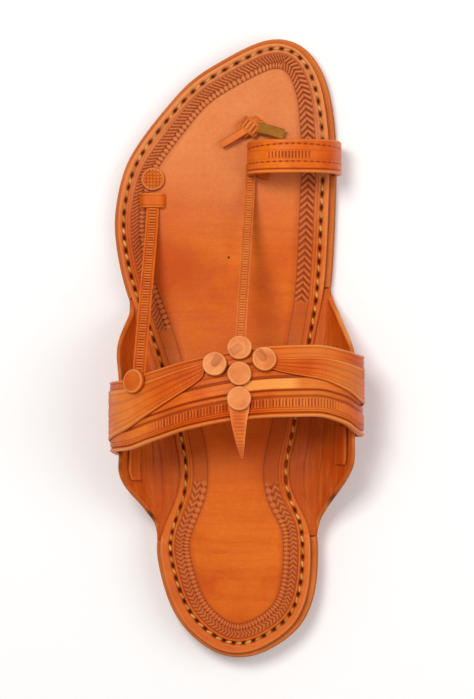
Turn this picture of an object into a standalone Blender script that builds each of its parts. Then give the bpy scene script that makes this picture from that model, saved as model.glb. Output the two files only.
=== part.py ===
# Kolhapuri sandal, left shoe: leather sole with a stacked heel, side ears, instep band, thong and toe ring.
# Metres, +Z up. The toe points along +Y and the big toe side is +X.
# The origin is on the floor under the middle of the heel.

import functools
import math

import bmesh
import bpy
from mathutils import Matrix, Vector
from mathutils.bvhtree import BVHTree

MM = 0.001

# Driving sizes of the sole
SHOE_LENGTH = 280.0 * MM
BALL_WIDTH = 100.7 * MM
HEEL_SETBACK = 24.6 * MM  # from the rear end of the sole to the origin
HEEL_RISE = 9.0 * MM
TOE_SPRING = 6.0 * MM
OUTSOLE_THICKNESS = 4.0 * MM
MIDDLE_THICKNESS = 2.2 * MM
INSOLE_THICKNESS = 2.8 * MM
LAYER_GAP = 0.3 * MM
OUTLINE_STEP = 3.0 * MM  # between the points of the sole's outline
OUTSOLE_STEP = 2.0 * MM
MIDDLE_INSET = 0.6 * MM
INSOLE_INSET = 2.6 * MM
INSOLE_SHIFT = 0.7 * MM  # the insole shows a wider rim of outsole on the big toe side
INSOLE_MARGIN = 5.0 * MM
INSOLE_SKIVE = 1.9 * MM  # how much the insole's margin is thinned beside the ears
HEEL_LIFTS = 2
HEEL_BREAST = 76.0 * MM  # from the rear end of the sole to the front face of the heel
HEEL_INSET = 0.5 * MM
WAIST_CURVE = (0.28, 0.57)  # where the underside bends between heel and ball, as shares of the length
TOE_CURVE = (0.82, 1.00)

# Side ears
LATERAL_EAR_START = 53.4 * MM  # from the rear end of the sole
LATERAL_EAR_LENGTH = 108.5 * MM
MEDIAL_EAR_START = 55.5 * MM
MEDIAL_EAR_LENGTH = 111.1 * MM
EAR_THICKNESS = 2.2 * MM
EAR_ROOT = 9.0 * MM
EAR_ABOVE = 1.0 * MM  # how far the ear's edge stands above the band's widest height
EAR_SLACK = 0.3 * MM  # from the ear's edge to the band beyond the usual gap
EAR_LIP = 0.4 * MM  # how far the ear runs out level past the sole's edge
EAR_ROOT_SHARE = 0.25  # share of the ear's width that lies between the layers
EAR_BELLY = (0.45, 0.87, 0.42)  # reach low down, then reach and height higher up, as shares of the ear's own
NOTCH_GAP = 0.8 * MM  # between an ear's root and the middle sole that is cut out for it
NOTCH_OVERRUN = 8.0 * MM  # how far the notch cutter runs out past the sole's edge
NOTCH_HEIGHT = 40.0 * MM
SKIVE_RAMP = 6.0 * MM  # over which the thinning of the insole's margin begins and ends

# Instep band
BAND_SPAN = 113.0 * MM
BAND_BASE = 34.0 * MM  # height where the band stands widest
BAND_FRONT_RISE = 30.0 * MM
BAND_REAR_RISE = 36.0 * MM
BAND_WALL = 2.2 * MM
BAND_TUCK = 15.0  # degrees that each end runs on below the widest height
BAND_CENTRE = 122.0 * MM  # from the rear end of the sole to the middle of the band
BAND_DEPTH = 30.0 * MM
STRIP_RISE = 0.8 * MM
FAN_RISE = 1.0 * MM
FAN_SUNK = 0.5 * MM  # how far a fan strap is sunk into the band
FAN_SPREAD = 0.58  # how early a fan strap widens on its way to the band's end

# Thong, side strap and toe ring
THONG_WIDTH = 4.6 * MM
SIDE_WIDTH = 5.6 * MM
STRAP_THICKNESS = 2.0 * MM
STRAP_SUNK = 0.6 * MM  # how far a strap's end is sunk into the band
THONG_INSIDE = 1.4 * MM  # from the toe ring's inner foot to the middle of the thong
THONG_OVERLAP = 5.0 * MM  # how far the thong runs on under the toe ring
THONG_RUN = 14.0 * MM  # along which the thong climbs off the insole
THONG_CLIMB = 3.4 * MM
SIDE_RUN = 12.0 * MM
SIDE_CLIMB = 3.0 * MM
RING_SPAN = 42.5 * MM
RING_DEPTH = 15.0 * MM
RING_HEIGHT = 25.0 * MM
RING_WALL = 2.6 * MM
RING_FROM_TOE = 55.0 * MM  # from the front end of the sole
RING_OFFSET = 25.0 * MM
RING_FOOT = 4.2 * MM  # from the insole up to where the ring stands widest
RING_TURNS = (-14.0, 206.0)  # degrees at the foot beside the thong and at the foot over the sole's edge
RING_TUCK = 15.0 * MM  # how steeply the ring's feet run down below its widest height
RING_FULLNESS = 0.8

# Buttons and small strips
DISC_DIAMETER = 10.6 * MM
DISC_THICKNESS = 2.2 * MM
DISC_EDGE = 0.5 * MM
SEAT_GAP = 0.3 * MM
SEAT_SEARCH = 20.0 * MM  # height from which the seat of a button is looked for
INSOLE_DISC_FROM_TOE = 63.6 * MM  # from the front end of the sole
INSOLE_DISC_OFFSET = 39.2 * MM  # to the lateral side
TAIL_LENGTH = 28.5 * MM
TAIL_BEND = 2.0 * MM  # how far the tail runs straight on past the band's edge
TAIL_MIDDLE = (0.03, -0.50, -0.12)  # way from the bend to the middle of the free end, as shares of its length
TAIL_TIP = (0.07, -0.96, -0.46)
TAIL_TAPER = 0.9
TAIL_WIDTH = 9.2 * MM
TAIL_THICKNESS = 1.6 * MM
LOOP_WIDTH = 10.4 * MM
LOOP_DEPTH = 6.4 * MM
LOOP_THICKNESS = 1.2 * MM
LOOP_GAP = 1.2 * MM  # from the insole's button to the loop
KNOT_DIAMETER = 8.6 * MM
KNOT_HEIGHT = 6.0 * MM
KNOT_GAP = 2.8 * MM  # from the toe ring's front edge to the knot
END_THICKNESS = 1.6 * MM
LACE_LENGTH = 17.0 * MM
LACE_HIDDEN = 4.0 * MM  # how much of a lace lies under the band
LACE_THICKNESS = 1.3 * MM

# Sole outline: along as a share of the length from the rear end, sides as shares of the ball width
OUTLINE = (
    # along, lateral, medial
    (0.007, -0.102, 0.101),
    (0.039, -0.226, 0.243),
    (0.068, -0.286, 0.303),
    (0.100, -0.327, 0.336),
    (0.142, -0.357, 0.352),
    (0.186, -0.373, 0.352),
    (0.223, -0.342, 0.340),
    (0.247, -0.312, 0.302),
    (0.291, -0.280, 0.254),
    (0.355, -0.306, 0.284),
    (0.419, -0.355, 0.317),
    (0.483, -0.407, 0.353),
    (0.546, -0.470, 0.387),
    (0.607, -0.530, 0.415),
    (0.701, -0.570, 0.430),
    (0.789, -0.526, 0.437),
    (0.836, -0.453, 0.433),
    (0.870, -0.382, 0.425),
    (0.921, -0.258, 0.400),
    (0.947, -0.168, 0.372),
    (0.970, -0.052, 0.331),
    (0.987, 0.040, 0.287),
)
HEEL_TIP = (0.0, 0.0)
TOE_TIP = (1.0, 0.170)

# Underside of the sole: heights as shares of the heel rise and of the toe spring
LIFT = (
    # along, heel, toe
    (0.00, 1.00, 0.00),
    (0.28, 1.00, 0.00),
    (0.34, 0.84, 0.00),
    (0.42, 0.46, 0.00),
    (0.50, 0.13, 0.00),
    (0.57, 0.00, 0.00),
    (0.82, 0.00, 0.00),
    (0.89, 0.00, 0.16),
    (0.95, 0.00, 0.52),
    (1.00, 0.00, 1.00),
)

# Ears: along as a share of the ear's length, reach as a share of the way from the sole's edge out to
# the inside of the band, height as a share of the way up to the band's widest height
EARS = {
    -1: (
        # along, reach, height
        (0.00, 0.02, 0.02),
        (0.04, 0.02, 0.02),
        (0.09, 0.30, 0.16),
        (0.15, 0.60, 0.42),
        (0.21, 0.87, 0.72),
        (0.29, 1.02, 0.94),
        (0.36, 1.00, 1.00),
        (0.66, 1.00, 1.00),
        (0.74, 1.08, 0.96),
        (0.80, 1.13, 0.82),
        (0.86, 1.02, 0.56),
        (0.92, 0.62, 0.28),
        (0.97, 0.03, 0.03),
        (1.00, 0.02, 0.02),
    ),
    1: (
        # along, reach, height
        (0.00, 0.02, 0.02),
        (0.03, 0.03, 0.02),
        (0.07, 0.19, 0.10),
        (0.14, 0.55, 0.34),
        (0.23, 0.87, 0.70),
        (0.31, 1.00, 0.94),
        (0.38, 1.00, 1.00),
        (0.73, 1.00, 1.00),
        (0.78, 0.90, 0.86),
        (0.86, 0.60, 0.52),
        (0.93, 0.30, 0.22),
        (0.97, 0.03, 0.03),
        (1.00, 0.02, 0.02),
    ),
}

# Band edges in plan: turn in degrees from the lateral end over the foot, edges as shares of the depth
BAND_EDGES = (
    # turn, front, rear
    (-18, 0.07, -1.02),
    (0, 0.08, -0.96),
    (30, 0.11, -0.92),
    (50, 0.24, -0.78),
    (70, 0.40, -0.60),
    (90, 0.52, -0.48),
    (110, 0.60, -0.43),
    (130, 0.62, -0.42),
    (150, 0.55, -0.52),
    (168, 0.48, -0.68),
    (198, 0.46, -0.74),
)

# Raised strips of the band: edges as shares of the way from front to rear, rise as a share of the strip rise
STRIPS = (
    # start, end, rise
    (0.00, 0.21, 1.00),
    (0.24, 0.42, 0.40),
    (0.455, 0.61, 0.60),
    (0.64, 0.70, 0.40),
    (0.73, 0.93, 1.00),
    (0.955, 1.00, 0.80),
)

# Fan straps over the band: from a button to an end corner, edges as shares across the band
FANS = (
    # name, turn at the button, turn at the end, front and rear at the button, front and rear at the end
    ("lateral", 77, 4, 0.10, 0.26, 0.13, 0.87),
    ("medial", 107, 176, 0.19, 0.31, 0.16, 0.63),
)

# Buttons of the cluster: turn in degrees and place across the band
CLUSTER = (
    # name, turn, across
    ("disc_front", 93, -0.02),
    ("disc_lateral", 82, 0.16),
    ("disc_medial", 104, 0.19),
    ("disc_middle", 93, 0.35),
    ("disc_rear", 93, 0.72),
)
CENTRE_TURN = 93.0
SIDE_TURN = 40.0
SIDE_ACROSS = 0.08
STRAP_ACROSS = 0.12  # how far a strap runs over the band, as a share of the way across
TAIL_ACROSS = 0.62

# Lace ends inside the ears: side, start and end as shares of the ear's width
LACES = (
    # name, side, low edge, high edge
    ("lace_end_lateral", -1, 0.70, 0.88),
    ("lace_end_medial", 1, 0.72, 0.90),
)

# Cut ends of the knot: name, points as shares of the knot's diameter, width as a share of it, tilt in degrees
KNOT_ENDS = (
    # side, forward, up at the start; at the end; width
    ((0.20, -0.03, 0.36), (1.70, -0.39, 0.30), 0.56),
    ((-0.15, -0.14, 0.30), (-1.50, -0.91, 0.12), 0.42),
)

LEATHER = (0.78, 0.26, 0.06)
ROUGHNESS = 0.5


def clear_scene():
    for old in list(bpy.data.objects):
        bpy.data.objects.remove(old, do_unlink=True)


def material(name, colour, roughness=ROUGHNESS):
    made = bpy.data.materials.new(name)
    made.use_nodes = True
    shader = made.node_tree.nodes["Principled BSDF"]
    shader.inputs["Base Color"].default_value = (*colour, 1.0)
    shader.inputs["Roughness"].default_value = roughness
    shader.inputs["Metallic"].default_value = 0.0
    return made


def collection(name):
    made = bpy.data.collections.new(name)
    bpy.context.scene.collection.children.link(made)
    return made


def new_object(name, mesh, group, colour=LEATHER):
    made = bpy.data.objects.new(name, mesh)
    group.objects.link(made)
    made.data.materials.append(material(name, colour))
    return made


def blend(table, at, column):
    """Smooth value of a column of a table whose first column rises."""
    if at <= table[0][0]:
        return table[0][column]
    if at >= table[-1][0]:
        return table[-1][column]
    low = max(i for i, row in enumerate(table) if row[0] <= at)
    low = min(low, len(table) - 2)
    span = table[low + 1][0] - table[low][0]
    part = (at - table[low][0]) / span

    def slope(i):
        if i in (0, len(table) - 1):
            return 0.0
        before = (table[i][column] - table[i - 1][column]) / (table[i][0] - table[i - 1][0])
        after = (table[i + 1][column] - table[i][column]) / (table[i + 1][0] - table[i][0])
        if before * after <= 0:
            return 0.0
        return 2 * before * after / (before + after)

    a, b = table[low][column], table[low + 1][column]
    square, cube = part * part, part * part * part
    return (
        a * (2 * cube - 3 * square + 1)
        + slope(low) * span * (cube - 2 * square + part)
        + b * (3 * square - 2 * cube)
        + slope(low + 1) * span * (cube - square)
    )


def rear():
    return -HEEL_SETBACK


def lift(y):
    """Height of the outsole's underside at a place along the shoe."""
    along = (y - rear()) / SHOE_LENGTH
    return HEEL_RISE * blend(LIFT, along, 1) + TOE_SPRING * blend(LIFT, along, 2)


def catmull(a, b, c, d, part):
    square, cube = part * part, part * part * part
    curve = (2 * a - 5 * b + 4 * c - d) * square + (3 * b - a - 3 * c + d) * cube
    return 0.5 * (2 * b + (c - a) * part + curve)


@functools.lru_cache
def outline_points(step=OUTLINE_STEP):
    """The sole's outline as a closed ring of evenly spaced points, counter-clockwise from the heel tip."""
    shares = [HEEL_TIP] + [(row[0], row[2]) for row in OUTLINE] + [TOE_TIP]
    shares += [(row[0], row[1]) for row in reversed(OUTLINE)]
    knots = [Vector((across * BALL_WIDTH, rear() + along * SHOE_LENGTH)) for along, across in shares]
    fine = []
    count = len(knots)
    for i in range(count):
        quad = [knots[(i + k) % count] for k in (-1, 0, 1, 2)]
        fine += [catmull(*quad, part / 12) for part in range(12)]
    total = sum((fine[i] - fine[i - 1]).length for i in range(len(fine)))
    wanted = max(24, round(total / step))
    ring, gone, target = [], 0.0, 0.0
    for i, point in enumerate(fine):
        following = fine[(i + 1) % len(fine)]
        piece = (following - point).length
        while target < gone + piece - 1e-9 and len(ring) < wanted:
            ring.append(point.lerp(following, (target - gone) / piece))
            target += total / wanted
        gone += piece
    return ring


def inset_ring(ring, inset):
    """The ring moved inwards; inset is a length or a function of the outward direction."""
    made = []
    for i, point in enumerate(ring):
        way = ring[(i + 1) % len(ring)] - ring[i - 1]
        out = Vector((way.y, -way.x)).normalized()
        depth = inset(out) if callable(inset) else inset
        made.append(point - out * depth)
    return made


def insole_inset(out):
    return INSOLE_INSET + INSOLE_SHIFT * out.x


def side_edge(y, side):
    """How far the sole's edge stands from the middle at y, on the side -1 (lateral) or 1 (medial)."""
    ring = outline_points(OUTSOLE_STEP)
    best = 0.0
    for i, point in enumerate(ring):
        following = ring[(i + 1) % len(ring)]
        if (point.y - y) * (following.y - y) <= 0 and point.y != following.y:
            part = (y - point.y) / (following.y - point.y)
            best = max(best, side * point.lerp(following, part).x)
    return side * best


def flat_outline(name, ring, bottom, top):
    """A filled flat curve of the ring with thickness, as a mesh."""
    curve = bpy.data.curves.new(name, "CURVE")
    curve.dimensions = "2D"
    curve.fill_mode = "BOTH"
    curve.extrude = (top - bottom) / 2
    spline = curve.splines.new("POLY")
    spline.points.add(len(ring) - 1)
    for spot, point in zip(spline.points, ring):
        spot.co = (point.x, point.y, 0.0, 1.0)
    spline.use_cyclic_u = True
    holder = bpy.data.objects.new(name, curve)
    bpy.context.scene.collection.objects.link(holder)
    bpy.context.view_layer.update()
    mesh = bpy.data.meshes.new_from_object(holder.evaluated_get(bpy.context.evaluated_depsgraph_get()))
    bpy.data.objects.remove(holder, do_unlink=True)
    work = bmesh.new()
    work.from_mesh(mesh)
    bmesh.ops.remove_doubles(work, verts=work.verts, dist=0.01 * MM)
    bmesh.ops.dissolve_limit(work, angle_limit=math.radians(0.5), verts=work.verts, edges=work.edges)
    bmesh.ops.translate(work, verts=work.verts, vec=(0, 0, (top + bottom) / 2))
    bmesh.ops.recalc_face_normals(work, faces=work.faces)
    return mesh, work


def bend_with_sole(work):
    """Cuts a flat layer across at each change of the sole's curve, and lifts it to that curve."""
    stations = []
    for (first, last), count in ((WAIST_CURVE, 9), (TOE_CURVE, 6)):
        stations += [first + (last - first) * i / count for i in range(count + 1)]
    for share in stations:
        bmesh.ops.bisect_plane(
            work,
            geom=work.verts[:] + work.edges[:] + work.faces[:],
            plane_co=(0, rear() + share * SHOE_LENGTH, 0),
            plane_no=(0, 1, 0),
            dist=0.001 * MM,
        )
    for vert in work.verts:
        vert.co.z += lift(vert.co.y)


def finish(work, mesh, name, group, colour=LEATHER, sharp=35):
    bmesh.ops.triangulate(work, faces=work.faces)
    bmesh.ops.recalc_face_normals(work, faces=work.faces)
    work.to_mesh(mesh)
    work.free()
    made = new_object(name, mesh, group, colour)
    mesh.shade_smooth()
    mesh.set_sharp_from_angle(angle=math.radians(sharp))
    return made


def sole_layer(name, ring, bottom, top, group, colour=LEATHER):
    mesh, work = flat_outline(name, ring, bottom, top)
    bend_with_sole(work)
    return finish(work, mesh, name, group, colour)


def middle_bottom():
    return OUTSOLE_THICKNESS + LAYER_GAP


def insole_bottom():
    return middle_bottom() + MIDDLE_THICKNESS + LAYER_GAP


def insole_top():
    return insole_bottom() + INSOLE_THICKNESS


def make_heel_lifts(group):
    each = HEEL_RISE / HEEL_LIFTS - LAYER_GAP
    breast = rear() + HEEL_BREAST
    ring = inset_ring(outline_points(), HEEL_INSET)
    for number, name in enumerate(("heel_lift_lower", "heel_lift_upper")):
        bottom = number * (each + LAYER_GAP)
        mesh, work = flat_outline(name, ring, bottom, bottom + each)
        cut = bmesh.ops.bisect_plane(
            work,
            geom=work.verts[:] + work.edges[:] + work.faces[:],
            plane_co=(0, breast, 0),
            plane_no=(0, 1, 0),
            clear_outer=True,
            dist=0.001 * MM,
        )
        edges = [item for item in cut["geom_cut"] if isinstance(item, bmesh.types.BMEdge)]
        bmesh.ops.contextual_create(work, geom=edges)
        finish(work, mesh, name, group, (0.55, 0.20, 0.07))


def ear_range(side):
    """Where the ear on the side -1 (lateral) or 1 (medial) starts and ends along the shoe."""
    if side < 0:
        start, length = LATERAL_EAR_START, LATERAL_EAR_LENGTH
    else:
        start, length = MEDIAL_EAR_START, MEDIAL_EAR_LENGTH
    return rear() + start, rear() + start + length


def make_middle_sole(group, cutters):
    ring = inset_ring(outline_points(), MIDDLE_INSET)
    made = sole_layer("middle_sole", ring, middle_bottom(), middle_bottom() + MIDDLE_THICKNESS, group,
                      (0.62, 0.24, 0.08))
    for side in (-1, 1):
        start, end = ear_range(side)
        rows = 18
        inner, outer = [], []
        for i in range(rows + 1):
            y = start - NOTCH_GAP + (end - start + 2 * NOTCH_GAP) * i / rows
            edge = side_edge(y, side)
            inner.append(Vector((edge - side * (EAR_ROOT + NOTCH_GAP), y)))
            outer.append(Vector((edge + side * NOTCH_OVERRUN, y)))
        ring = inner + outer[::-1]
        if side < 0:
            ring.reverse()
        mesh, work = flat_outline("notch", ring, 0.0, NOTCH_HEIGHT)
        bmesh.ops.triangulate(work, faces=work.faces)
        work.to_mesh(mesh)
        work.free()
        cutter = bpy.data.objects.new("notch_" + ("lateral" if side < 0 else "medial"), mesh)
        cutters.objects.link(cutter)
        cutter.hide_render = True
        cutter.display_type = "WIRE"
        cut = made.modifiers.new("ear notch", "BOOLEAN")
        cut.operation = "DIFFERENCE"
        cut.solver = "EXACT"
        cut.object = cutter
    return made


def make_insole(group):
    ring = inset_ring(outline_points(), insole_inset)
    mesh, work = flat_outline("insole", ring, insole_bottom(), insole_top())
    top = [face for face in work.faces if face.normal.z > 0.9]
    bmesh.ops.inset_region(work, faces=top, thickness=INSOLE_MARGIN, use_even_offset=True)
    rim = {vert for vert in work.verts if vert.co.z > insole_top() - 0.1 * MM}
    rim -= {vert for face in top if face.is_valid for vert in face.verts}
    for vert in rim:
        start, end = ear_range(-1 if vert.co.x < 0 else 1)
        inside = min(vert.co.y - start, end - vert.co.y) / SKIVE_RAMP
        vert.co.z -= INSOLE_SKIVE * max(0.0, min(1.0, inside))
    bend_with_sole(work)
    return finish(work, mesh, "insole", group, (0.80, 0.30, 0.09))


def grid_shell(name, columns, rows, place, wall, group, thickness=None, turned=True, colour=LEATHER):
    """An open grid shaped by place(u, v), with a wall on the side away from u cross v where it is turned.

    thickness(u, v) is a share of the wall.
    """
    work = bmesh.new()
    bmesh.ops.create_grid(work, x_segments=columns, y_segments=rows, size=0.5)
    shares = {}
    for vert in work.verts:
        u, v = vert.co.x + 0.5, vert.co.y + 0.5
        vert.co = place(u, v)
        shares[vert.index] = thickness(u, v) if thickness else 1.0
    if turned:
        bmesh.ops.reverse_faces(work, faces=work.faces)
    mesh = bpy.data.meshes.new(name)
    work.to_mesh(mesh)
    work.free()
    made = new_object(name, mesh, group, colour)
    raised = made.vertex_groups.new(name="thickness")
    for index, share in shares.items():
        raised.add([index], share, "REPLACE")
    solid = made.modifiers.new("wall", "SOLIDIFY")
    solid.thickness = wall
    solid.offset = 1.0
    solid.use_even_offset = False
    solid.vertex_group = "thickness"
    return made


def baked(obj):
    """The object with its modifiers made real."""
    bpy.context.view_layer.update()
    mesh = bpy.data.meshes.new_from_object(obj.evaluated_get(bpy.context.evaluated_depsgraph_get()))
    obj.modifiers.clear()
    obj.data = mesh
    return obj


def smooth(obj, sharp=35):
    obj.data.shade_smooth()
    obj.data.set_sharp_from_angle(angle=math.radians(sharp))


def band_inner_half():
    return BAND_SPAN / 2 - BAND_WALL - STRIP_RISE


def band_point(turn, across):
    """A point of the band's inner surface: degrees from the lateral end, share from front to rear."""
    angle = math.radians(turn)
    middle = rear() + BAND_CENTRE
    front = middle + BAND_DEPTH * blend(BAND_EDGES, turn, 1)
    back = middle + BAND_DEPTH * blend(BAND_EDGES, turn, 2)
    rise = BAND_FRONT_RISE + (BAND_REAR_RISE - BAND_FRONT_RISE) * across
    height = rise - BAND_WALL - STRIP_RISE
    return Vector((
        -band_inner_half() * math.cos(angle),
        front + (back - front) * across,
        BAND_BASE + height * math.sin(angle),
    ))


def band_normal(turn, across):
    step = 0.5
    along = band_point(turn + step, across) - band_point(turn - step, across)
    over = band_point(turn, across + 0.02) - band_point(turn, across - 0.02)
    normal = along.cross(over).normalized()
    return normal if normal.z > 0 or abs(normal.x) > 0.5 else -normal


def outward(turn, across):
    """Unit direction out of the band, away from the foot."""
    normal = band_normal(turn, across)
    centre = Vector((0, band_point(turn, across).y, BAND_BASE))
    return normal if normal.dot(band_point(turn, across) - centre) > 0 else -normal


def strip_lines():
    """Places across the band where its height changes, each with the rise there."""
    lines = []
    for start, end, rise in STRIPS:
        lines += [(start, rise), (end, rise)]
        if end < 1.0:
            lines += [(end + 0.008, 0.0)]
    steps = []
    for i, (place, rise) in enumerate(lines):
        if i and rise > 0 and lines[i - 1][1] == 0.0 and place - lines[i - 1][0] > 0.012:
            steps.append((place - 0.008, 0.0))
        steps.append((place, rise))
    return steps


def make_band(group):
    lines = strip_lines()
    rows = len(lines) - 1
    columns = 34

    def turn_at(u):
        return -BAND_TUCK + (180 + 2 * BAND_TUCK) * u

    def line(v):
        return lines[round(v * rows)]

    return grid_shell(
        "upper",
        columns,
        rows,
        lambda u, v: band_point(turn_at(u), line(v)[0]),
        BAND_WALL + STRIP_RISE,
        group,
        lambda u, v: (BAND_WALL + STRIP_RISE * line(v)[1]) / (BAND_WALL + STRIP_RISE),
    )


def make_fan(name, turn_a, turn_b, front_a, rear_a, front_b, rear_b, group):
    """A fan strap that lies over the band, sunk into it so that the two are one wall."""
    base = BAND_WALL - FAN_SUNK

    def place(u, v):
        turn = turn_a + (turn_b - turn_a) * u
        widen = u ** FAN_SPREAD
        front = front_a + (front_b - front_a) * widen
        back = rear_a + (rear_b - rear_a) * widen
        across = front + (back - front) * v
        return band_point(turn, across) + outward(turn, across) * base

    return grid_shell(
        "fan_" + name, 14, 3, place, FAN_SUNK + STRIP_RISE + FAN_RISE, group, turned=turn_b > turn_a
    )


def strap_path(points, part):
    """Smooth point at a share of the way along a short list of points."""
    gone = [0.0]
    for before, after in zip(points, points[1:]):
        gone.append(gone[-1] + (after - before).length)
    at = min(max(part, 0.0), 1.0) * gone[-1]
    i = max(k for k in range(len(points) - 1) if gone[k] <= at)
    span = gone[i + 1] - gone[i]
    share = (at - gone[i]) / span

    def slope(k):
        low, high = max(0, k - 1), min(len(points) - 1, k + 1)
        return (points[high] - points[low]) / (gone[high] - gone[low])

    square, cube = share * share, share ** 3
    return (
        points[i] * (2 * cube - 3 * square + 1)
        + slope(i) * span * (cube - 2 * square + share)
        + points[i + 1] * (3 * square - 2 * cube)
        + slope(i + 1) * span * (cube - square)
    )


def strap_surface(name, points, width, group, segments=16):
    def place(u, v):
        here = strap_path(points, u)
        way = strap_path(points, min(1, u + 0.02)) - strap_path(points, max(0, u - 0.02))
        side = Vector((way.y, -way.x, 0)).normalized()
        return here + side * width * (v - 0.5)

    return grid_shell(name, segments, 2, place, STRAP_THICKNESS, group)


def insole_level(y):
    return lift(y) + insole_top()


def ring_place():
    return rear() + SHOE_LENGTH - RING_FROM_TOE


def band_spot(turn, across, height):
    """A point over the band's inner surface."""
    return band_point(turn, across) + outward(turn, across) * height


def climbing_path(start, run, climb, turn):
    """A strap's underside: it climbs off the insole, then runs straight up and over the band's edge."""
    lip = band_spot(turn, 0.0, BAND_WALL - STRAP_SUNK / 2)
    top = band_spot(turn, STRAP_ACROSS, BAND_WALL - STRAP_SUNK)
    ahead = run / (start.y - lip.y)
    low = Vector((start.x + (lip.x - start.x) * ahead, start.y - run, start.z + climb))
    return [start, low, low.lerp(lip, 0.5), lip, top]


def thong_points():
    """Middle of the thong's underside from the foot of the toe ring up to the band."""
    foot_x = RING_OFFSET - RING_SPAN / 2 + THONG_INSIDE
    y = ring_place() - RING_DEPTH / 2 + THONG_OVERLAP
    start = Vector((foot_x, y, insole_level(y) + SEAT_GAP))
    return climbing_path(start, THONG_RUN, THONG_CLIMB, CENTRE_TURN)


def loop_place():
    return insole_disc_place().y - DISC_DIAMETER / 2 - LOOP_DEPTH / 2 - LOOP_GAP


def side_points():
    """Middle of the side strap's underside from its loop on the insole up to the band."""
    y = loop_place() - LOOP_DEPTH / 3
    start = Vector((insole_disc_place().x, y, insole_level(y) + SEAT_GAP))
    return climbing_path(start, SIDE_RUN, SIDE_CLIMB, SIDE_TURN)


def insole_disc_place():
    return Vector((-INSOLE_DISC_OFFSET, rear() + SHOE_LENGTH - INSOLE_DISC_FROM_TOE, 0))


def make_ring(group):
    """The toe ring: an arch with one foot beside the thong and the other turned in over the sole's rim."""
    half = RING_SPAN / 2 - RING_WALL
    level = insole_level(ring_place()) + RING_FOOT
    rise = RING_HEIGHT - RING_FOOT - RING_WALL

    def place(u, v):
        angle = math.radians(RING_TURNS[0] + (RING_TURNS[1] - RING_TURNS[0]) * u)
        cos, sin = math.cos(angle), math.sin(angle)
        x = RING_OFFSET - half * math.copysign(abs(cos) ** RING_FULLNESS, cos)
        z = level + (rise * abs(sin) ** RING_FULLNESS if sin > 0 else RING_TUCK * sin)
        return Vector((x, ring_place() + RING_DEPTH * (0.5 - v), z))

    return grid_shell("ring", 30, 2, place, RING_WALL, group)


def join_into(target, piece):
    """Joins a piece to the target with a union, and removes the piece."""
    union = target.modifiers.new("join", "BOOLEAN")
    union.operation = "UNION"
    union.solver = "EXACT"
    union.object = piece
    baked(target)
    bpy.data.objects.remove(piece, do_unlink=True)


def make_upper(group):
    upper = baked(make_band(group))
    for row in FANS:
        join_into(upper, baked(make_fan(*row, group)))
    join_into(upper, baked(strap_surface("thong", thong_points(), THONG_WIDTH, group)))
    join_into(upper, baked(strap_surface("side_strap", side_points(), SIDE_WIDTH, group)))
    join_into(upper, baked(make_ring(group)))
    smooth(upper)
    return upper


def ear_point(side, u, v):
    """A point of an ear's outer surface: u along the shoe, v from its root up to its edge."""
    start, end = ear_range(side)
    y = start + (end - start) * u
    edge = side_edge(y, side)
    level = lift(y) + middle_bottom()
    reach_to = band_inner_half() - LAYER_GAP - EAR_SLACK
    reach = blend(EARS[side], u, 1) * max(0.0, reach_to - side * edge - EAR_LIP)
    height = blend(EARS[side], u, 2) * (BAND_BASE + EAR_ABOVE - level)
    root = Vector((edge - side * EAR_ROOT, y, level))
    lip = Vector((edge + side * EAR_LIP, y, level))
    if v <= EAR_ROOT_SHARE:
        return root.lerp(lip, v / EAR_ROOT_SHARE)
    part = (v - EAR_ROOT_SHARE) / (1 - EAR_ROOT_SHARE)
    rest = 1 - part
    low = lip + Vector((side * reach * EAR_BELLY[0], 0, 0))
    high = lip + Vector((side * reach * EAR_BELLY[1], 0, height * EAR_BELLY[2]))
    top = lip + Vector((side * reach, 0, height))
    return lip * rest ** 3 + low * 3 * rest * rest * part + high * 3 * rest * part * part + top * part ** 3


def ear_inward(side, u, v):
    """Unit direction from an ear's outer surface through its wall."""
    along = ear_point(side, min(1, u + 0.01), v) - ear_point(side, max(0, u - 0.01), v)
    over = ear_point(side, u, min(1, v + 0.01)) - ear_point(side, u, max(0, v - 0.01))
    return along.cross(over).normalized() * -side


def make_ear(side, group):
    """A side flap: a flat root between the soles, then a curve up and out to inside the band."""
    name = "ear_lateral" if side < 0 else "ear_medial"
    made = grid_shell(
        name, 26, 8, lambda u, v: ear_point(side, u, v), EAR_THICKNESS, group, turned=side > 0
    )
    baked(made)
    smooth(made)
    return made


def make_laces(group):
    for name, side, low, high in LACES:
        start, end = ear_range(side)
        band_rear = band_point(0 if side < 0 else 180, 1.0).y
        first = (band_rear + LACE_HIDDEN - start) / (end - start)
        last = first - LACE_LENGTH / (end - start)

        def place(u, v):
            along = first + (last - first) * u
            across = low + (high - low) * v
            inwards = ear_inward(side, along, across) * (EAR_THICKNESS + SEAT_GAP)
            return ear_point(side, along, across) + inwards

        made = baked(grid_shell(name, 6, 2, place, LACE_THICKNESS, group, turned=side < 0))
        smooth(made)


def surface_of(objects):
    """The upper faces of some objects as one tree that rays can be cast at."""
    work = bmesh.new()
    for obj in objects:
        work.from_mesh(obj.data)
    tree = BVHTree.FromBMesh(work)
    work.free()
    return tree


def seat_height(tree, spot, normal, radius):
    """How high above spot, along the normal, a flat disc of this radius meets what lies under it."""
    side = normal.orthogonal().normalized()
    other = normal.cross(side)
    best = 0.0
    for share in (0.0, 0.35, 0.7, 1.0):
        for turn in range(24):
            angle = math.tau * turn / 24
            offset = (side * math.cos(angle) + other * math.sin(angle)) * radius * share
            start = spot + offset + normal * SEAT_SEARCH
            hit = tree.ray_cast(start, -normal, 1.2 * SEAT_SEARCH)[0]
            if hit:
                best = max(best, (hit - spot).dot(normal))
    return best


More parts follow.
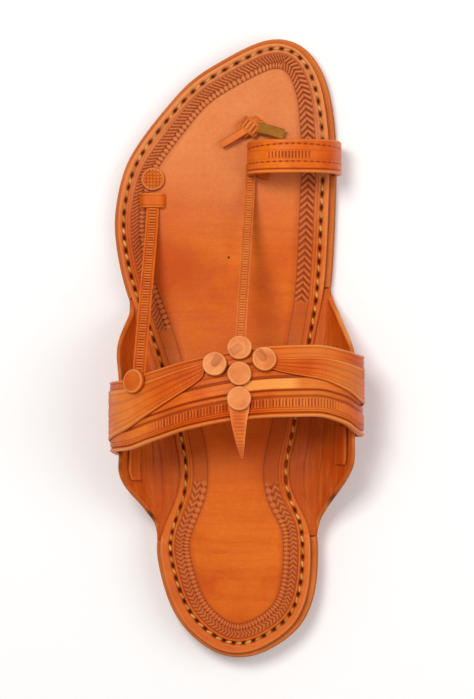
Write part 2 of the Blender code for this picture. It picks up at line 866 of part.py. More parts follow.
def place_disc(name, spot, normal, group, colour=LEATHER):
    """A leather button that lies flat on a surface, with a rounded upper edge."""
    work = bmesh.new()
    bmesh.ops.create_cone(
        work, cap_ends=True, segments=24, radius1=DISC_DIAMETER / 2, radius2=DISC_DIAMETER / 2,
        depth=DISC_THICKNESS,
    )
    rim = [edge for edge in work.edges if all(vert.co.z > 0 for vert in edge.verts)]
    bmesh.ops.bevel(work, geom=rim, offset=DISC_EDGE, segments=1, affect="EDGES")
    turn = Vector((0, 0, 1)).rotation_difference(normal)
    move = Matrix.Translation(spot + normal * (DISC_THICKNESS / 2 + SEAT_GAP)) @ turn.to_matrix().to_4x4()
    bmesh.ops.transform(work, matrix=move, verts=work.verts)
    mesh = bpy.data.meshes.new(name)
    work.to_mesh(mesh)
    work.free()
    made = new_object(name, mesh, group, colour)
    smooth(made)
    return made


def make_discs(group, upper, tail):
    tree = surface_of([upper, tail])
    places = CLUSTER + (("disc_side", SIDE_TURN, SIDE_ACROSS),)
    for name, turn, across in places:
        spot, normal = band_point(turn, across), outward(turn, across)
        place_disc(name, spot + normal * seat_height(tree, spot, normal, DISC_DIAMETER / 2), normal, group)
    spot = insole_disc_place()
    spot.z = insole_level(spot.y)
    place_disc("disc_insole", spot, Vector((0, 0, 1)), group, (0.75, 0.30, 0.08))


def make_tail(group):
    """A tapered strip from under the rear button, over the band's rear edge and down behind it."""
    on_band = BAND_WALL + STRIP_RISE + SEAT_GAP
    root = band_spot(CENTRE_TURN, TAIL_ACROSS, on_band)
    edge = band_spot(CENTRE_TURN, 1.0, on_band)
    past = edge + (edge - root).normalized() * TAIL_BEND
    free = TAIL_LENGTH - (past - root).length
    middle = past + Vector(TAIL_MIDDLE) * free
    tip = past + Vector(TAIL_TIP) * free
    points = [root, edge, past, middle, tip]

    def place(u, v):
        here = strap_path(points, u)
        width = TAIL_WIDTH * (1 - TAIL_TAPER * max(0.0, u - 0.2) / 0.8)
        return here + Vector((-width * (v - 0.5), 0, 0))

    made = baked(grid_shell("tail", 12, 2, place, TAIL_THICKNESS, group, colour=(0.75, 0.34, 0.14)))
    smooth(made)
    return made


def make_loop(group):
    """A strip across the foot of the side strap, its two ends down on the insole."""
    centre_y = loop_place()
    foot = side_points()[0]
    over = STRAP_THICKNESS + SEAT_GAP

    def place(u, v):
        across = u - 0.5
        inside = SIDE_WIDTH / LOOP_WIDTH / 2 + 0.06
        step = max(0.0, min(1.0, (0.5 - abs(across)) / (0.5 - inside)))
        y = centre_y + LOOP_DEPTH * (0.5 - v)
        smooth_step = step * step * (3 - 2 * step)
        z = insole_level(y) + SEAT_GAP + over * smooth_step
        return Vector((foot.x + across * LOOP_WIDTH, y, z))

    made = baked(grid_shell("strap_loop", 14, 1, place, LOOP_THICKNESS, group))
    smooth(made)


def make_knot(group):
    """The thong's knot in front of the toe ring, with its two cut ends."""
    y = ring_place() + RING_DEPTH / 2 + KNOT_GAP + KNOT_DIAMETER / 2
    centre = Vector((thong_points()[0].x, y, insole_level(y) + SEAT_GAP + KNOT_HEIGHT / 2))
    work = bmesh.new()
    bmesh.ops.create_uvsphere(work, u_segments=14, v_segments=8, radius=0.5)
    size = Matrix.Diagonal((KNOT_DIAMETER, KNOT_DIAMETER, KNOT_HEIGHT, 1))
    bmesh.ops.transform(work, matrix=Matrix.Translation(centre) @ size, verts=work.verts)
    mesh = bpy.data.meshes.new("toe_knot")
    work.to_mesh(mesh)
    work.free()
    knot = new_object("toe_knot", mesh, group, (0.66, 0.30, 0.10))
    floor = Vector((centre.x, centre.y, insole_level(y) + SEAT_GAP))
    for start, end, wide in KNOT_ENDS:
        first = floor + Vector(start) * KNOT_DIAMETER
        last = floor + Vector(end) * KNOT_DIAMETER
        side = Vector((last.y - first.y, first.x - last.x, 0)).normalized()

        def place(u, v):
            return first.lerp(last, u) + side * wide * KNOT_DIAMETER * (v - 0.5)

        join_into(knot, baked(grid_shell("knot_end", 3, 1, place, END_THICKNESS, group)))
    smooth(knot)


def main():
    clear_scene()
    group = collection("kolhapuri_sandal")
    cutters = collection("cutters")
    ring = outline_points()
    sole_layer("outsole", ring, 0.0, OUTSOLE_THICKNESS, group, (0.66, 0.26, 0.09))
    make_heel_lifts(group)
    make_middle_sole(group, cutters)
    make_insole(group)
    make_ear(-1, group)
    make_ear(1, group)
    upper = make_upper(group)
    tail = make_tail(group)
    make_discs(group, upper, tail)
    make_loop(group)
    make_knot(group)
    make_laces(group)


main()
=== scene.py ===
import math

import bpy
import numpy as np
from mathutils import Matrix, Vector


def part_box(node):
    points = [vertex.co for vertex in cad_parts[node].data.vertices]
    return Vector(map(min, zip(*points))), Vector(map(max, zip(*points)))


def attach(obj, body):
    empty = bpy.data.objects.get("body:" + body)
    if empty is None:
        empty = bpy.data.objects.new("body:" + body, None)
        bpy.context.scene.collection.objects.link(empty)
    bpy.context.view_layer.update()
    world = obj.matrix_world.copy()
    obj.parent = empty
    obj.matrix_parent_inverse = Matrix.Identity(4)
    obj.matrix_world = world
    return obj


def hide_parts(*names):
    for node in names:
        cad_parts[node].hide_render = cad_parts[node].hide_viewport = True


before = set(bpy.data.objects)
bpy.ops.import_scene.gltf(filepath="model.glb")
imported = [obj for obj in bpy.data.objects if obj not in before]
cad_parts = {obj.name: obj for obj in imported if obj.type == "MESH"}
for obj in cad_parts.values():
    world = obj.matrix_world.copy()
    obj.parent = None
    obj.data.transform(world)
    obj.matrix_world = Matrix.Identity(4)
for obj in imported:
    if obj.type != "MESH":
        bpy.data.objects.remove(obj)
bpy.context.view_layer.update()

mm = 0.001

# the sole's sizes, as the solids have them
shoe = {
    "length": 0.280,
    "ballWidth": 0.1007,
    "rear": -0.0246,
    "heelRise": 0.0090,
    "toeSpring": 0.0060,
    "outsole": 0.0040,
    "middle": 0.0022,
    "insole": 0.0028,
    "gap": 0.0003,
    "middleInset": 0.0006,
    "insoleInset": 0.0026,
    "insoleShift": 0.0007,
    "breast": 0.0760,
    "heelInset": 0.0005,
}
outline = {"points": 1200, "between": 60, "rounding": 13}
outlineRows = (  # along, lateral, medial
    (0.007, -0.102, 0.101), (0.039, -0.226, 0.243), (0.068, -0.286, 0.303), (0.100, -0.327, 0.336),
    (0.142, -0.357, 0.352), (0.186, -0.373, 0.352), (0.223, -0.342, 0.340), (0.247, -0.312, 0.302),
    (0.291, -0.280, 0.254), (0.355, -0.306, 0.284), (0.419, -0.355, 0.317), (0.483, -0.407, 0.353),
    (0.546, -0.470, 0.387), (0.607, -0.530, 0.415), (0.701, -0.570, 0.430), (0.789, -0.526, 0.437),
    (0.836, -0.453, 0.433), (0.870, -0.382, 0.425), (0.921, -0.258, 0.400), (0.947, -0.168, 0.372),
    (0.970, -0.052, 0.331), (0.987, 0.040, 0.287),
)
heelTip = (0.0, 0.0)
toeTip = (1.0, 0.170)
liftRows = (  # along, heel, toe
    (0.00, 1.00, 0.00), (0.28, 1.00, 0.00), (0.34, 0.84, 0.00), (0.42, 0.46, 0.00), (0.50, 0.13, 0.00),
    (0.57, 0.00, 0.00), (0.82, 0.00, 0.00), (0.89, 0.00, 0.16), (0.95, 0.00, 0.52), (1.00, 0.00, 1.00),
)
ear = {
    "start": {-1: 0.0534, 1: 0.0555},
    "length": {-1: 0.1085, 1: 0.1111},
    "wall": 0.0022,
    "above": 0.0010,
    "slack": 0.0003,
    "lip": 0.0004,
    "root": 0.0090,
    "rootShare": 0.25,
    "wrinkle": 0.00016,
    "creases": 44,
    "columns": 260,
    "outerRows": 26,
    "innerRows": 84,
    "shadedEdge": {-1: ((0.10, 0.05), (0.40, 0.22)), 1: ((0.16, 0.05), (0.66, 0.10))},  # places and half widths of the painted shade along the ear's top edge, where the ear meets the band
}
earRows = {  # side: along, spread, climb
    -1: (
        (0.00, 0.02, 0.02), (0.04, 0.02, 0.02), (0.09, 0.30, 0.16), (0.15, 0.60, 0.42), (0.21, 0.87, 0.72),
        (0.29, 1.02, 0.94), (0.36, 1.00, 1.00), (0.66, 1.00, 1.00), (0.74, 1.08, 0.96), (0.80, 1.13, 0.82),
        (0.86, 1.02, 0.56), (0.92, 0.62, 0.28), (0.97, 0.03, 0.03), (1.00, 0.02, 0.02),
    ),
    1: (
        (0.00, 0.02, 0.02), (0.03, 0.03, 0.02), (0.07, 0.19, 0.10), (0.14, 0.55, 0.34), (0.23, 0.87, 0.70),
        (0.31, 1.00, 0.94), (0.38, 1.00, 1.00), (0.73, 1.00, 1.00), (0.78, 0.90, 0.86), (0.86, 0.60, 0.52),
        (0.93, 0.30, 0.22), (0.97, 0.03, 0.03), (1.00, 0.02, 0.02),
    ),
}
band = {
    "span": 0.1130,
    "base": 0.0340,
    "frontRise": 0.0300,
    "rearRise": 0.0360,
    "wall": 0.0022,
    "tuck": 15.0,
    "centre": 0.1220,
    "depth": 0.0300,
    "strip": 0.0008,
    "fan": 0.0010,
    "middleTurn": 93.0,
    "sideTurn": 40.0,
    "strapAcross": 0.12,
    "tailAcross": 0.62,
}
bandEdgeRows = (  # turn, front, rear
    (-18, 0.07, -1.02), (0, 0.08, -0.96), (30, 0.11, -0.92), (50, 0.24, -0.78),
    (70, 0.40, -0.60), (90, 0.52, -0.48), (110, 0.60, -0.43), (130, 0.62, -0.42),
    (150, 0.55, -0.52), (168, 0.48, -0.68), (198, 0.46, -0.74),
)


# small tools for numbers

def columnAt(rows, at, column):  # smooth value of a column, without overshoot
    x = np.array([row[0] for row in rows], float)
    y = np.array([row[column] for row in rows], float)
    secant = np.diff(y) / np.diff(x)
    slope = np.zeros(len(x))
    same = secant[:-1] * secant[1:] > 0
    total = np.where(same, secant[:-1] + secant[1:], 1.0)
    slope[1:-1] = np.where(same, 2 * secant[:-1] * secant[1:] / total, 0.0)
    at = np.clip(np.asarray(at, float), x[0], x[-1])
    i = np.clip(np.searchsorted(x, at, side="right") - 1, 0, len(x) - 2)
    span = x[i + 1] - x[i]
    t = (at - x[i]) / span
    return (
        y[i] * (2 * t ** 3 - 3 * t ** 2 + 1)
        + slope[i] * span * (t ** 3 - 2 * t ** 2 + t)
        + y[i + 1] * (3 * t ** 2 - 2 * t ** 3)
        + slope[i + 1] * span * (t ** 3 - t ** 2)
    )


def ease(x, low, high):  # 0 below low, 1 above high, smooth between
    t = np.clip((x - low) / (high - low), 0.0, 1.0)
    return t * t * (3 - 2 * t)


def hump(x, centre, half):  # 1 at the centre, 0 at half away from it
    return 0.5 + 0.5 * np.cos(np.pi * np.clip((x - centre) / half, -1.0, 1.0))


def waves(x, y, seed):  # soft uneven surface between about -1 and 1
    dice = np.random.default_rng(seed)
    total = 0.0
    for _ in range(7):
        a, b = dice.normal(0, 60, 2)
        total = total + np.sin(a * x + b * y + dice.uniform(0, 6.28))
    return total / 4.5


def unit(vectors):
    return vectors / np.maximum(np.linalg.norm(vectors, axis=-1, keepdims=True), 1e-12)


def beat(x):  # 1 at every whole number, 0 half way between
    return 0.5 + 0.5 * np.cos(2 * np.pi * x)


def nearEdge(c, width):  # 1 at both edges of a strip, 0 from width inwards
    return 1 - ease(np.minimum(c, 1 - c), 0, width)


def travelled(line):  # how far each point lies from the first along the line
    return np.concatenate([[0], np.cumsum(np.linalg.norm(np.diff(line, axis=0), axis=1))])


# the sole's outline and curve

def alongOf(y):
    return (np.asarray(y) - shoe["rear"]) / shoe["length"]


def liftAt(y):
    heel, toe = (columnAt(liftRows, alongOf(y), k) for k in (1, 2))
    return shoe["heelRise"] * heel + shoe["toeSpring"] * toe


def outlineCurve():  # a curve through the rows, rounded a little so that no row shows as a corner
    shares = [heelTip] + [(row[0], row[2]) for row in outlineRows] + [toeTip]
    shares += [(row[0], row[1]) for row in reversed(outlineRows)]
    knots = np.array([(across, along) for along, across in shares])
    knots = knots * (shoe["ballWidth"], shoe["length"]) + (0, shoe["rear"])
    t = np.linspace(0, 1, outline["between"], endpoint=False)[:, None]
    fine = []
    for i in range(len(knots)):
        a, b, c, d = (knots[(i + k) % len(knots)] for k in (-1, 0, 1, 2))
        bend = (2 * a - 5 * b + 4 * c - d) * t ** 2 + (3 * b - a - 3 * c + d) * t ** 3
        fine.append(0.5 * (2 * b + (c - a) * t + bend))
    fine = resampled(np.concatenate(fine), outline["points"])
    once = blurred(fine, outline["rounding"])
    return 2 * once - blurred(once, outline["rounding"])


def resampled(line, count):
    closed = np.vstack([line, line[:1]])
    gone = travelled(closed)
    at = np.linspace(0, gone[-1], count, endpoint=False)
    return np.stack([np.interp(at, gone, closed[:, k]) for k in range(line.shape[1])], axis=1)


def blurred(values, reach):  # running mean round a ring
    steps = range(-3 * reach, 3 * reach + 1)
    weights = [math.exp(-0.5 * (k / reach) ** 2) for k in steps]
    return sum(w * np.roll(values, k, axis=0) for w, k in zip(weights, steps)) / sum(weights)


fineOutline = outlineCurve()


def outlineRing(count):
    return resampled(fineOutline, count)


def outOf(ring):  # outward directions of a ring that runs counter-clockwise
    way = np.roll(ring, -3, axis=0) - np.roll(ring, 3, axis=0)
    return unit(np.stack([way[:, 1], -way[:, 0]], axis=1))


def ringLength(ring):
    return np.linalg.norm(ring - np.roll(ring, 1, axis=0), axis=1).sum()


def spineOf(ring, margin):  # where each ring point's row ends, on the middle line of the ring
    y = np.clip(ring[:, 1], ring[:, 1].min() + margin, ring[:, 1].max() - margin)
    rolled = np.roll(ring, -int(np.argmin(ring[:, 1])), axis=0)
    top = int(np.argmax(rolled[:, 1]))
    right, left = rolled[:top + 1], rolled[top:][::-1]
    right = right[np.argsort(right[:, 1])]
    left = left[np.argsort(left[:, 1])]
    middle = (np.interp(y, right[:, 1], right[:, 0]) + np.interp(y, left[:, 1], left[:, 0])) / 2
    return np.stack([middle, y], axis=1)


def insoleTopAt(y):
    return liftAt(y) + shoe["outsole"] + shoe["middle"] + shoe["insole"] + 2 * shoe["gap"]


def sideEdge(y, side):
    pastMiddle = 0.004
    fine = outlineRing(outline["points"])
    half = fine[fine[:, 0] * side > -pastMiddle]
    half = half[np.argsort(half[:, 1])]
    return np.interp(y, half[:, 1], half[:, 0])


# the band's inner face and its outward direction

def bandPoint(turn, across):
    angle = np.radians(turn)
    middle = shoe["rear"] + band["centre"]
    front = middle + band["depth"] * columnAt(bandEdgeRows, turn, 1)
    back = middle + band["depth"] * columnAt(bandEdgeRows, turn, 2)
    rise = band["frontRise"] + (band["rearRise"] - band["frontRise"]) * across - band["wall"] - band["strip"]
    half = band["span"] / 2 - band["wall"] - band["strip"]
    x = -half * np.cos(angle)
    return np.stack([x, front + (back - front) * across, band["base"] + rise * np.sin(angle)], axis=-1)


def bandOut(turn, across):
    along = bandPoint(turn + 0.5, across) - bandPoint(turn - 0.5, across)
    over = bandPoint(turn, across + 0.02) - bandPoint(turn, across - 0.02)
    normal = unit(np.cross(along, over))
    centre = bandPoint(turn, across) * (0, 1, 0) + np.array((0, 0, band["base"]))
    facing = np.sum(normal * (bandPoint(turn, across) - centre), axis=-1, keepdims=True)
    return np.where(facing > 0, normal, -normal)


# meshes

weldWithin = 0.000002
smoothUnder = 50  # degrees between faces


def deselect():
    if bpy.context.object and bpy.context.object.mode != "OBJECT":
        bpy.ops.object.mode_set(mode="OBJECT")
    bpy.ops.object.select_all(action="DESELECT")


def addRow(sheet, points, groove=0.0, wearAndHighlight=0.0, paintedShade=0.0):  # a row of points and its marks
    marks = [np.zeros(len(points)) + value for value in (groove, wearAndHighlight, paintedShade)]
    sheet.append((points, np.column_stack(marks)))


def gridPiece(name, sheet, ringed=False):
    # a grid primitive whose vertices are moved to the sheet's points and welded
    # ringed: its rows run round the piece and meet in the middle; if not, it is rolled up and its ends filled
    points, marks = (np.stack([row[k] for row in sheet], axis=1) for k in (0, 1))
    if ringed:
        points, marks = (np.concatenate([a, a[:1]], axis=0) for a in (points, marks))
    else:
        points, marks = (np.concatenate([a, a[:, :1]], axis=1) for a in (points, marks))
    columns, rows = points.shape[:2]
    deselect()
    bpy.ops.mesh.primitive_grid_add(x_subdivisions=columns - 1, y_subdivisions=rows - 1, size=1.0)
    piece = bpy.context.active_object
    piece.name = piece.data.name = name
    mesh = piece.data
    flat = np.empty(len(mesh.vertices) * 3)
    mesh.vertices.foreach_get("co", flat)
    spot = np.rint((flat.reshape(-1, 3)[:, :2] + 0.5) * (columns - 1, rows - 1)).astype(int)
    mesh.vertices.foreach_set("co", points[spot[:, 0], spot[:, 1]].ravel())
    layer = mesh.attributes.new("marks", "FLOAT_COLOR", "POINT")
    colour = np.ones((len(mesh.vertices), 4))
    colour[:, :3] = np.clip(marks[spot[:, 0], spot[:, 1]], 0, 1)
    layer.data.foreach_set("color", colour.ravel())
    while mesh.uv_layers:
        mesh.uv_layers.remove(mesh.uv_layers[0])
    bpy.ops.object.mode_set(mode="EDIT")
    bpy.ops.mesh.select_all(action="SELECT")
    bpy.ops.mesh.remove_doubles(threshold=weldWithin)
    if not ringed:
        bpy.ops.mesh.select_all(action="SELECT")
        bpy.ops.mesh.fill_holes(sides=0)
    bpy.ops.mesh.select_all(action="SELECT")
    bpy.ops.mesh.normals_make_consistent(inside=False)
    bpy.ops.object.mode_set(mode="OBJECT")
    bpy.ops.object.shade_smooth_by_angle(angle=math.radians(smoothUnder))
    return piece


def handIn(piece, slot, material, *nodes):
    piece.data.materials.clear()
    piece.data.materials.append(material)
    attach(piece, "root")
    if nodes:
        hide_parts(*nodes)


# leather

def srgb(r, g, b):
    return tuple(((v / 255 + 0.055) / 1.055) ** 2.4 if v > 10 else v / 255 / 12.92 for v in (r, g, b))


def leather(name, look):
    made = bpy.data.materials.new(name)
    made.use_nodes = True
    nodes, links = made.node_tree.nodes, made.node_tree.links
    shader = nodes["Principled BSDF"]
    coords = nodes.new("ShaderNodeTexCoord").outputs["Object"]

    def fed(node, inputs):  # each input is a value, a colour or another node's output
        for socket, value in inputs.items():
            if isinstance(value, bpy.types.NodeSocket):
                links.new(value, node.inputs[socket])
            else:
                node.inputs[socket].default_value = value
        return node

    def added(kind, inputs):
        return fed(nodes.new("ShaderNode" + kind), inputs)

    def noise(scale, detail, roughness=0.55, squash=None):
        place = added("Mapping", {"Vector": coords, "Scale": squash}).outputs["Vector"] if squash else coords
        inputs = {"Vector": place, "Scale": scale, "Detail": detail, "Roughness": roughness}
        return added("TexNoise", inputs).outputs["Fac"]

    def ranged(value, low, high, toLow, toHigh):
        inputs = {"Value": value, "From Min": low, "From Max": high, "To Min": toLow, "To Max": toHigh}
        return added("MapRange", inputs).outputs["Result"]

    def mixed(a, b, amount):
        node = nodes.new("ShaderNodeMix")
        node.data_type = "RGBA"
        a, b = ((*srgb(*value), 1.0) if isinstance(value, tuple) else value for value in (a, b))
        return fed(node, {0: amount, 6: a, 7: b}).outputs[2]

    colour = mixed(look["dark"], look["light"], ranged(noise(look["mottle"], 5), 0.36, 0.64, 0, 1))
    if "patch" in look:  # broad stains where the dye took more
        stain = ranged(noise(15, 4, 0.6), 0.46, 0.70, 0, look.get("patchDepth", 0.5))
        colour = mixed(colour, look["patch"], stain)
    if "streak" in look:
        streaks = ranged(noise(1.0, 4, 0.6, look["streak"]), 0.45, 0.75, 0, look["streakDepth"])
        colour = mixed(colour, look["streakColour"], streaks)
    if "pale" in look:  # rubbed pale towards the toe
        split = added("SeparateXYZ", {"Vector": coords})
        amount = ranged(split.outputs["Y"], look["paleFrom"], look["paleTo"], 0, 0.85)
        patchy = added("Math", {0: amount, 1: ranged(noise(26, 3), 0.3, 0.7, 0.75, 1.15)})
        patchy.operation = "MULTIPLY"
        patchy.use_clamp = True
        colour = mixed(colour, look["pale"], patchy.outputs[0])
    colour = mixed(colour, look["pore"], ranged(noise(520, 4, 0.7), 0.4, 0.7, 0, 0.22))
    if "spot" in look:  # a small awl prick: a dark dot of painted shade, with no dent modelled
        x, y, radius = look["spot"]
        away = added("VectorMath", {0: coords, 1: (x, y, insoleTopAt(y))})
        away.operation = "DISTANCE"
        colour = mixed(colour, look["paintedShade"], ranged(away.outputs["Value"], radius * 1.3, radius * 0.7, 0, 1))
    # marks: red darkens towards the groove colour (tooled lines, and painted shade at edges and undersides),
    # green lightens towards the pale colour (wear, and a painted highlight on the band), blue darkens towards
    # the darkest colour, which is painted shade in holes, gaps and under parts
    marks = nodes.new("ShaderNodeAttribute")
    marks.attribute_name = "marks"
    parts = added("SeparateColor", {"Color": marks.outputs["Color"]})
    for mark, channel in (("groove", "Red"), ("wearAndHighlight", "Green"), ("paintedShade", "Blue")):
        colour = mixed(colour, look[mark], parts.outputs[channel])
    pebble = added("TexVoronoi", {"Vector": coords, "Scale": 1400}).outputs["Distance"]
    grain = added("Bump", {"Strength": 0.22, "Distance": 0.0003, "Height": pebble}).outputs["Normal"]
    creases = {"Strength": 0.35, "Distance": 0.0008, "Height": noise(210, 6, 0.62), "Normal": grain}
    fed(shader, {
        "Base Color": colour,
        "Roughness": ranged(noise(120, 4), 0.3, 0.7, *look["gloss"]),
        "Coat Weight": look["coat"],
        "Coat Roughness": 0.32,
        "Specular IOR Level": 0.30,
        "Specular Tint": (1.0, 0.62, 0.32, 1.0),
        "Normal": added("Bump", creases).outputs["Normal"],
    })
    return made


# in each look the darkest colour is painted shade for holes, gaps and undersides, and the palest colour also
# paints a highlight on the instep band
strapLook = {
    "dark": (200, 74, 2), "light": (232, 112, 16), "pore": (182, 66, 6), "groove": (134, 40, 6),
    "wearAndHighlight": (240, 156, 74), "paintedShade": (60, 20, 6), "gloss": (0.34, 0.50), "coat": 0.05, "mottle": 46,
    "streak": (60, 500, 60), "streakColour": (192, 70, 8), "streakDepth": 0.25,
    "patch": (188, 62, 4),
}
insoleLook = {
    "dark": (196, 74, 8), "light": (228, 114, 26), "pore": (182, 66, 12), "groove": (140, 46, 16),
    "wearAndHighlight": (232, 144, 82), "paintedShade": (30, 12, 6), "gloss": (0.40, 0.56), "coat": 0.03, "mottle": 30,
    "pale": (224, 134, 80), "paleFrom": 0.160, "paleTo": 0.208, "streak": (30, 420, 30),
    "streakColour": (182, 68, 12), "streakDepth": 0.42, "patch": (186, 62, 10),
    "spot": (-0.0049, 0.1562, 0.00055),  # x, y, radius
}
earLook = {
    "dark": (194, 74, 8), "light": (220, 100, 18), "pore": (160, 52, 8), "groove": (150, 48, 10),
    "wearAndHighlight": (230, 136, 62), "paintedShade": (40, 14, 8), "gloss": (0.38, 0.56), "coat": 0.04, "mottle": 34,
    "streak": (620, 26, 300), "streakColour": (226, 124, 54), "streakDepth": 0.55,
    "patch": (166, 52, 6), "patchDepth": 0.6,
}
soleLook = {
    "dark": (196, 90, 28), "light": (214, 112, 44), "pore": (146, 60, 20), "groove": (124, 44, 14),
    "wearAndHighlight": (222, 136, 70), "paintedShade": (50, 20, 8), "gloss": (0.45, 0.62), "coat": 0.02, "mottle": 60,
    "streak": (60, 60, 900), "streakColour": (150, 60, 20), "streakDepth": 0.5,
}
buttonLook = {
    "dark": (212, 114, 56), "light": (232, 144, 84), "pore": (176, 80, 34), "groove": (150, 58, 20),
    "wearAndHighlight": (242, 170, 108), "paintedShade": (70, 26, 8), "gloss": (0.42, 0.58), "coat": 0.03, "mottle": 90,
}
tailLook = dict(buttonLook, dark=(214, 98, 34), light=(228, 120, 52))
orangeLook = dict(buttonLook, dark=(200, 82, 10), light=(216, 104, 22))
tanLook = dict(strapLook, dark=(210, 102, 34), light=(228, 128, 54), groove=(164, 68, 22))
threadLook = {
    "dark": (178, 114, 46), "light": (222, 172, 96), "pore": (146, 86, 34), "groove": (120, 70, 26),
    "wearAndHighlight": (234, 196, 132), "paintedShade": (80, 44, 16), "gloss": (0.5, 0.7), "coat": 0.02, "mottle": 300,
}
fleshLook = {
    "dark": (150, 96, 28), "light": (176, 124, 46), "pore": (124, 74, 22), "groove": (110, 56, 18),
    "wearAndHighlight": (196, 144, 76), "paintedShade": (64, 28, 8), "gloss": (0.6, 0.8), "coat": 0.0, "mottle": 120,
}
strapLeather = leather("strapLeather", strapLook)
insoleLeather = leather("insoleLeather", insoleLook)
earLeather = leather("earLeather", earLook)
soleLeather = leather("soleLeather", soleLook)
buttonLeather = leather("buttonLeather", buttonLook)
tailLeather = leather("tailLeather", tailLook)
orangeLeather = leather("orangeLeather", orangeLook)
tanLeather = leather("tanLeather", tanLook)
waxedThread = leather("waxedThread", threadLook)
fleshSide = leather("fleshSide", fleshLook)
print("materials are made")


# outsole, middle sole and heel lifts

layers = {
    "columns": 760,
    "liftColumns": 420,
    "round": 0.00045,
    "rim": 0.0040,
    "wornRim": 0.0016,
    "bulge": 0.0001,
    "sideRows": 7,
    "inwards": (1.0, 0.75, 0.5, 0.25),
    "spineMargin": 0.016,
    "roughEdge": 0.00012,
    "notchAlong": 0.0002,
    "notchIn": 0.0008,
}


def layerPiece(name, ring, out, bottom, top, follow=True):
    spine = spineOf(ring, layers["spineMargin"])
    gone = np.linspace(0, ringLength(ring), len(ring), endpoint=False)
    edge, rim, sideRows = layers["round"], layers["rim"], layers["sideRows"]
    sheet = []

    def add(inset, z, groove=0.0, wearAndHighlight=0.0, spineShare=0.0):
        start = ring - out * np.reshape(inset, (-1, 1))
        flat = start + (spine - start) * spineShare
        base = liftAt(flat[:, 1]) if follow else np.zeros(len(ring))
        addRow(sheet, np.column_stack([flat, base + z]), groove, wearAndHighlight)

    for share in layers["inwards"]:
        add(rim, bottom, spineShare=share)
    add(rim, bottom)
    add(edge * 1.6, bottom)
    # the lower rounded edge is darkened as painted shade, where the layer sits on the one below
    add(edge * 0.4, bottom + edge * 0.35, 0.2)
    for k in range(sideRows):
        z = bottom + edge + (top - bottom - 2 * edge) * (k + 0.5) / sideRows
        rough = waves(gone * 2, np.full(len(ring), z * 300), 4) + 0.6 * np.sin(k * 2.4)
        inset = layers["bulge"] - 0.6 * layers["roughEdge"] * rough
        add(inset, z, 0.25 + 0.25 * np.sin(k * 2.1 + gone * 40), 0.1)
    add(edge * 0.4, top - edge * 0.35, 0.0, 0.30)
    add(edge * 1.3, top, 0.0, 0.20)
    add(layers["wornRim"], top, 0.1, 0.1)
    add(rim, top)
    for share in reversed(layers["inwards"]):
        add(rim, top, spineShare=share)
    return gridPiece(name, sheet, ringed=True)


fullRing = outlineRing(layers["columns"])
fullOut = outOf(fullRing)


def middleRing():  # the middle sole stands back where the ears are laid in
    inset = np.full(len(fullRing), shoe["middleInset"])
    for side in (-1, 1):
        start = shoe["rear"] + ear["start"][side] - layers["notchAlong"]
        end = start + ear["length"][side] + 2 * layers["notchAlong"]
        inside = (fullRing[:, 0] * side > 0) & (fullRing[:, 1] > start) & (fullRing[:, 1] < end)
        inset[inside] = ear["root"] + layers["notchIn"]
    return fullRing - fullOut * inset[:, None]


def heelRing(count):
    fine = outlineRing(1600)
    ring = fine - outOf(fine) * shoe["heelInset"]
    breast = shoe["rear"] + shoe["breast"]
    ring = np.roll(ring, -int(np.argmin(ring[:, 1])), axis=0)
    top = int(np.argmax(ring[:, 1]))
    right = ring[:top][ring[:top, 1] < breast]
    left = ring[top:][ring[top:, 1] < breast]
    front = right[-1] + (left[0] - right[-1]) * np.linspace(0, 1, 40)[1:-1, None]
    return resampled(np.concatenate([right, front, left]), count)


outerPiece = layerPiece("soleOuter", fullRing, fullOut, 0.0, shoe["outsole"])
handIn(outerPiece, "sole_leather", soleLeather, "outsole")
middleBottom = shoe["outsole"] + shoe["gap"]
middlePiece = layerPiece("soleMiddle", middleRing(), fullOut, middleBottom, middleBottom + shoe["middle"])
handIn(middlePiece, "sole_leather", soleLeather, "middle_sole")
liftEach = shoe["heelRise"] / 2 - shoe["gap"]
lift = heelRing(layers["liftColumns"])
for number, node in enumerate(("heel_lift_lower", "heel_lift_upper")):
    low = number * (liftEach + shoe["gap"])
    piece = layerPiece("heelLift" + "AB"[number], lift, outOf(lift), low, low + liftEach, follow=False)
    handIn(piece, "sole_leather", soleLeather, node)
print("sole layers are made")


# insole with its tooled border

tooling = {
    "columns": 1640,
    "marginRows": 8,  # from the edge to the stitches
    "channelRows": 8,  # from the stitches to the border
    "borderRows": 20,
    "panelRows": 11,
    "spineMargin": 0.022,
    "softening": 24,
    "borderWidth": 0.0070,
    "pitch": 0.0031,
    "depth": 0.00048,
    "lineDepth": 0.0003,
    "stitch": 0.0062,
    "hole": 0.0013,
    "holeLength": 0.0014,
    "holeWidth": 0.0007,
    "channel": 0.00035,
    "channelWidth": 0.0012,
    "ridge": 0.00030,
    "rounding": 0.0004,
    "skive": 0.0019,
    "skiveWidth": 0.0050,
    "uneven": 0.00010,
}
stitchRows = (  # along, inset on the lateral side, inset on the medial side, in millimetres
    (0.00, 7.0, 7.0),
    (0.10, 6.9, 7.0),
    (0.19, 6.4, 6.8),
    (0.25, 5.2, 5.6),
    (0.30, 4.6, 4.7),
    (0.42, 4.6, 4.9),
    (0.55, 4.6, 5.6),
    (0.62, 4.6, 6.4),
    (0.72, 4.6, 6.5),
    (0.82, 4.6, 6.0),
    (0.92, 4.7, 5.8),
    (1.00, 4.8, 4.8),
)
borderRows = (  # along, from the stitches to the border in millimetres
    (0.00, 2.0),
    (0.22, 2.0),
    (0.29, 3.2),
    (0.45, 2.9),
    (0.62, 3.1),
    (0.85, 3.0),
    (0.93, 2.3),
    (1.00, 2.2),
)


